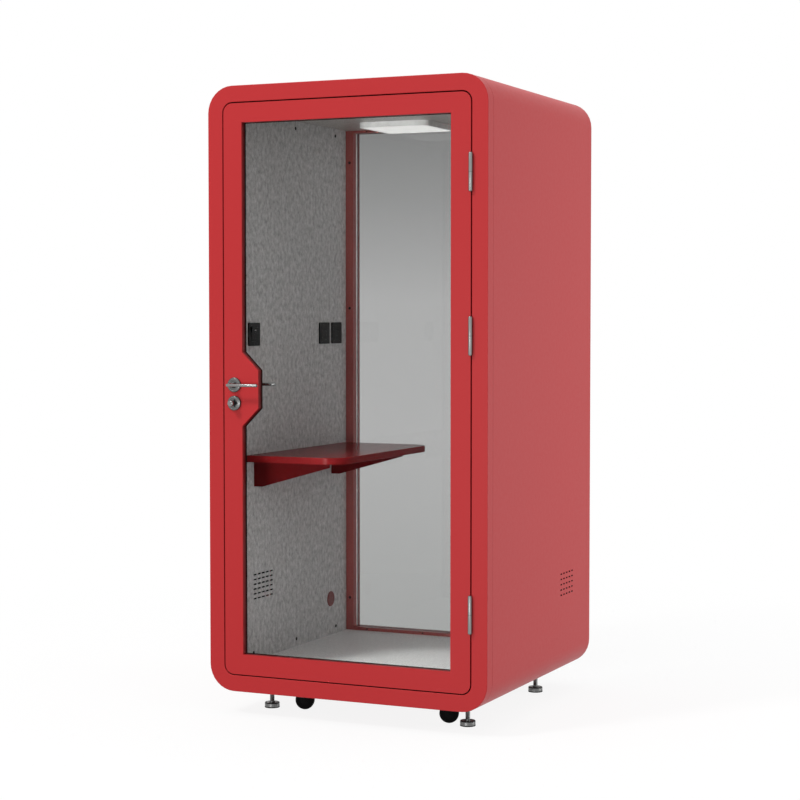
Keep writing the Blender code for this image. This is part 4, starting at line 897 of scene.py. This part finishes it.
# Casters
CASTER_SWIVEL = {"front": math.radians(20), "rear": math.radians(200)}
WHEEL_HALF, FORK_HALF = 0.018, 0.0225
HUB = [(0.0160, 0), (0.0158, 0.0004), (0.0120, 0.0010), (0.0052, 0.0010)]
NUT_RADIUS, NUT_HEIGHT, NUT_BEVEL = 0.0058, 0.0028, 0.0006
TREAD_EDGE, TREAD_TOP, TREAD_GROOVE = 0.0346, 0.0353, 0.0350
TREAD_ENDS = (-0.0075, 0.0080)
TREAD_PITCH = 0.0022
# One line of the tread: radius, and distance from the line's middle
TREAD_LINE = [(TREAD_TOP, -0.0008), (TREAD_TOP, 0.0006), (TREAD_GROOVE, 0.0009), (TREAD_GROOVE, 0.0011)]


def dress_casters():
    """Hub caps and tread lines on the wheels, and nuts on the axles."""
    hub = lathe("caster_hub", HUB, 40)
    hexagon = [(NUT_RADIUS * math.cos(math.radians(60 * k)), NUT_RADIUS * math.sin(math.radians(60 * k)))
               for k in range(6)]
    nut = plate("axle_nut", hexagon, NUT_HEIGHT, NUT_BEVEL)
    lines = [(radius, k * TREAD_PITCH + off) for k in range(-3, 4) for radius, off in TREAD_LINE]
    tread = lathe("caster_tread", [(TREAD_EDGE, TREAD_ENDS[0]), *lines, (TREAD_EDGE, TREAD_ENDS[1])], 64)
    for corner in CORNERS:
        angle = CASTER_SWIVEL[corner.split("_")[0]]
        axis = Vector((-math.sin(angle), math.cos(angle), 0))
        low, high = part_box(f"caster_wheel_{corner}")
        centre = (low + high) / 2
        wheel, fork = f"wheel_{corner}", f"fork_{corner}"
        made = piece(f"caster_tread_{corner}", tread, rubber, wheel, centre)
        made.rotation_euler = (-math.pi / 2, 0, angle)
        for tag, way in ((f"{corner}_near", -1), (f"{corner}_far", 1)):
            made = (piece(f"caster_hub_{tag}", hub, black_metal, wheel,
                          centre + axis * way * WHEEL_HALF),
                    piece(f"axle_nut_{tag}", nut, black_metal, fork,
                          centre + axis * way * FORK_HALF))
            for part in made:
                part.rotation_euler = (-way * math.pi / 2, 0, angle)


# The studio

def add_object(name, data):
    """A new object in the scene."""
    made = bpy.data.objects.new(name, data)
    bpy.context.scene.collection.objects.link(made)
    return made


def make_camera():
    """The photograph's camera."""
    forward = Vector((math.sin(CAMERA_YAW) * math.cos(CAMERA_PITCH),
                      math.cos(CAMERA_YAW) * math.cos(CAMERA_PITCH), -math.sin(CAMERA_PITCH)))
    across = forward.cross(Vector(UP)).normalized()
    upward = across.cross(forward)
    turn = Matrix((across, upward, -forward)).transposed() @ Matrix.Rotation(CAMERA_ROLL, 3, 'Z')
    camera = bpy.data.cameras.new("camera")
    camera.sensor_width = SENSOR
    camera.lens = FOCAL_PX / PHOTO_PX * SENSOR
    camera.clip_end = 200
    holder = add_object("camera", camera)
    holder.matrix_world = Matrix.Translation(CAMERA_PLACE) @ turn.to_4x4()
    bpy.context.scene.camera = holder


def seen(tree):
    """1 for rays that show the background: straight on, mirrored or through glass."""
    path = add_node(tree, "ShaderNodeLightPath", {}, {})
    unbent = worked(tree, 'ADD', path.outputs["Is Camera Ray"], path.outputs["Is Glossy Ray"])
    return worked(tree, 'ADD', unbent, path.outputs["Is Transmission Ray"], True)


WHITE = (1, 1, 1, 1)
WORLD_LIGHT = 0.60


def make_world():
    """White to look at, and a plain soft light on the object."""
    world = bpy.data.worlds.new("studio")
    bpy.context.scene.world = world
    world.use_nodes = True
    tree = world.node_tree
    light = tree.nodes["Background"]
    light.inputs["Color"].default_value = WHITE
    light.inputs["Strength"].default_value = WORLD_LIGHT
    shown = add_node(tree, "ShaderNodeBackground", {"Color": WHITE, "Strength": 1.0}, {})
    blend(tree, seen(tree), light.outputs["Background"], shown.outputs["Background"], "World Output")


# The floor: how much it glows at two distances from the middle, and its grey for other and for seen rays
FLOOR_RADIUS = 14.0
FLOOR_DROP = 0.0002
FLOOR_GLOW = (0.88, 1.0)
GLOW_REACH = (1.2, 3.6)
FLOOR_SHADES = (0.35, 0.97)


def make_floor():
    """A pale studio floor, white where no shadow falls."""
    shape = bmesh.new()
    bmesh.ops.create_circle(shape, cap_ends=True, radius=FLOOR_RADIUS, segments=96)
    floor = add_object("studio_floor", to_mesh("studio_floor", shape))
    floor.location.z = -FLOOR_DROP
    material = new_material("studio_floor", (0.95, 0.95, 0.95), 0.9, specular=0.0)
    tree = material.node_tree
    low, high = FLOOR_SHADES
    tinted(material, seen(tree), (low, low, low), (high, high, high), 0.0, 1.0)
    away = add_node(tree, "ShaderNodeVectorMath", {}, {0: place(material)})
    away.operation = 'LENGTH'
    glow = add_node(tree, "ShaderNodeEmission", {"Color": WHITE}, {})
    share = worked(tree, 'MULTIPLY', seen(tree),
                   spread(material, away.outputs["Value"], *FLOOR_GLOW, *GLOW_REACH))
    blend(tree, share, shader_of(material).outputs["BSDF"], glow.outputs["Emission"], "Material Output")
    floor.data.materials.append(material)


def add_lamp(name, place_at, aim, size, power):
    """A rectangular area lamp turned towards a point."""
    data = bpy.data.lights.new(name, 'AREA')
    data.shape = 'RECTANGLE'
    data.size, data.size_y = size
    data.energy = power
    holder = add_object(name, data)
    holder.location = place_at
    holder.rotation_euler = (Vector(aim) - Vector(place_at)).to_track_quat('-Z', 'Y').to_euler()


def make_lamps():
    """Key from the front left and high above, low fill, one from the right and a soft top."""
    middle = (0, 0, 1.2)
    add_lamp("key", (-3.6, -6.5, 9.0), middle, (1.4, 1.4), 520)
    add_lamp("low", (-0.3, -8.0, 0.6), (0, -0.5, 0.4), (2.0, 1.0), 150)
    add_lamp("side", (5.0, 2.0, 1.2), middle, (3.0, 2.0), 110)
    add_lamp("top", (0.0, 0.0, 6.0), middle, (4.0, 4.0), 50)


finish_nodes()
dress_walls()
dress_glass()
dress_lock_front()
dress_lock_edge()
dress_hinges()
dress_desk()
dress_fittings()
dress_feet()
dress_casters()
make_camera()
make_world()
make_floor()
make_lamps()

bpy.context.scene.view_settings.view_transform = 'Standard'
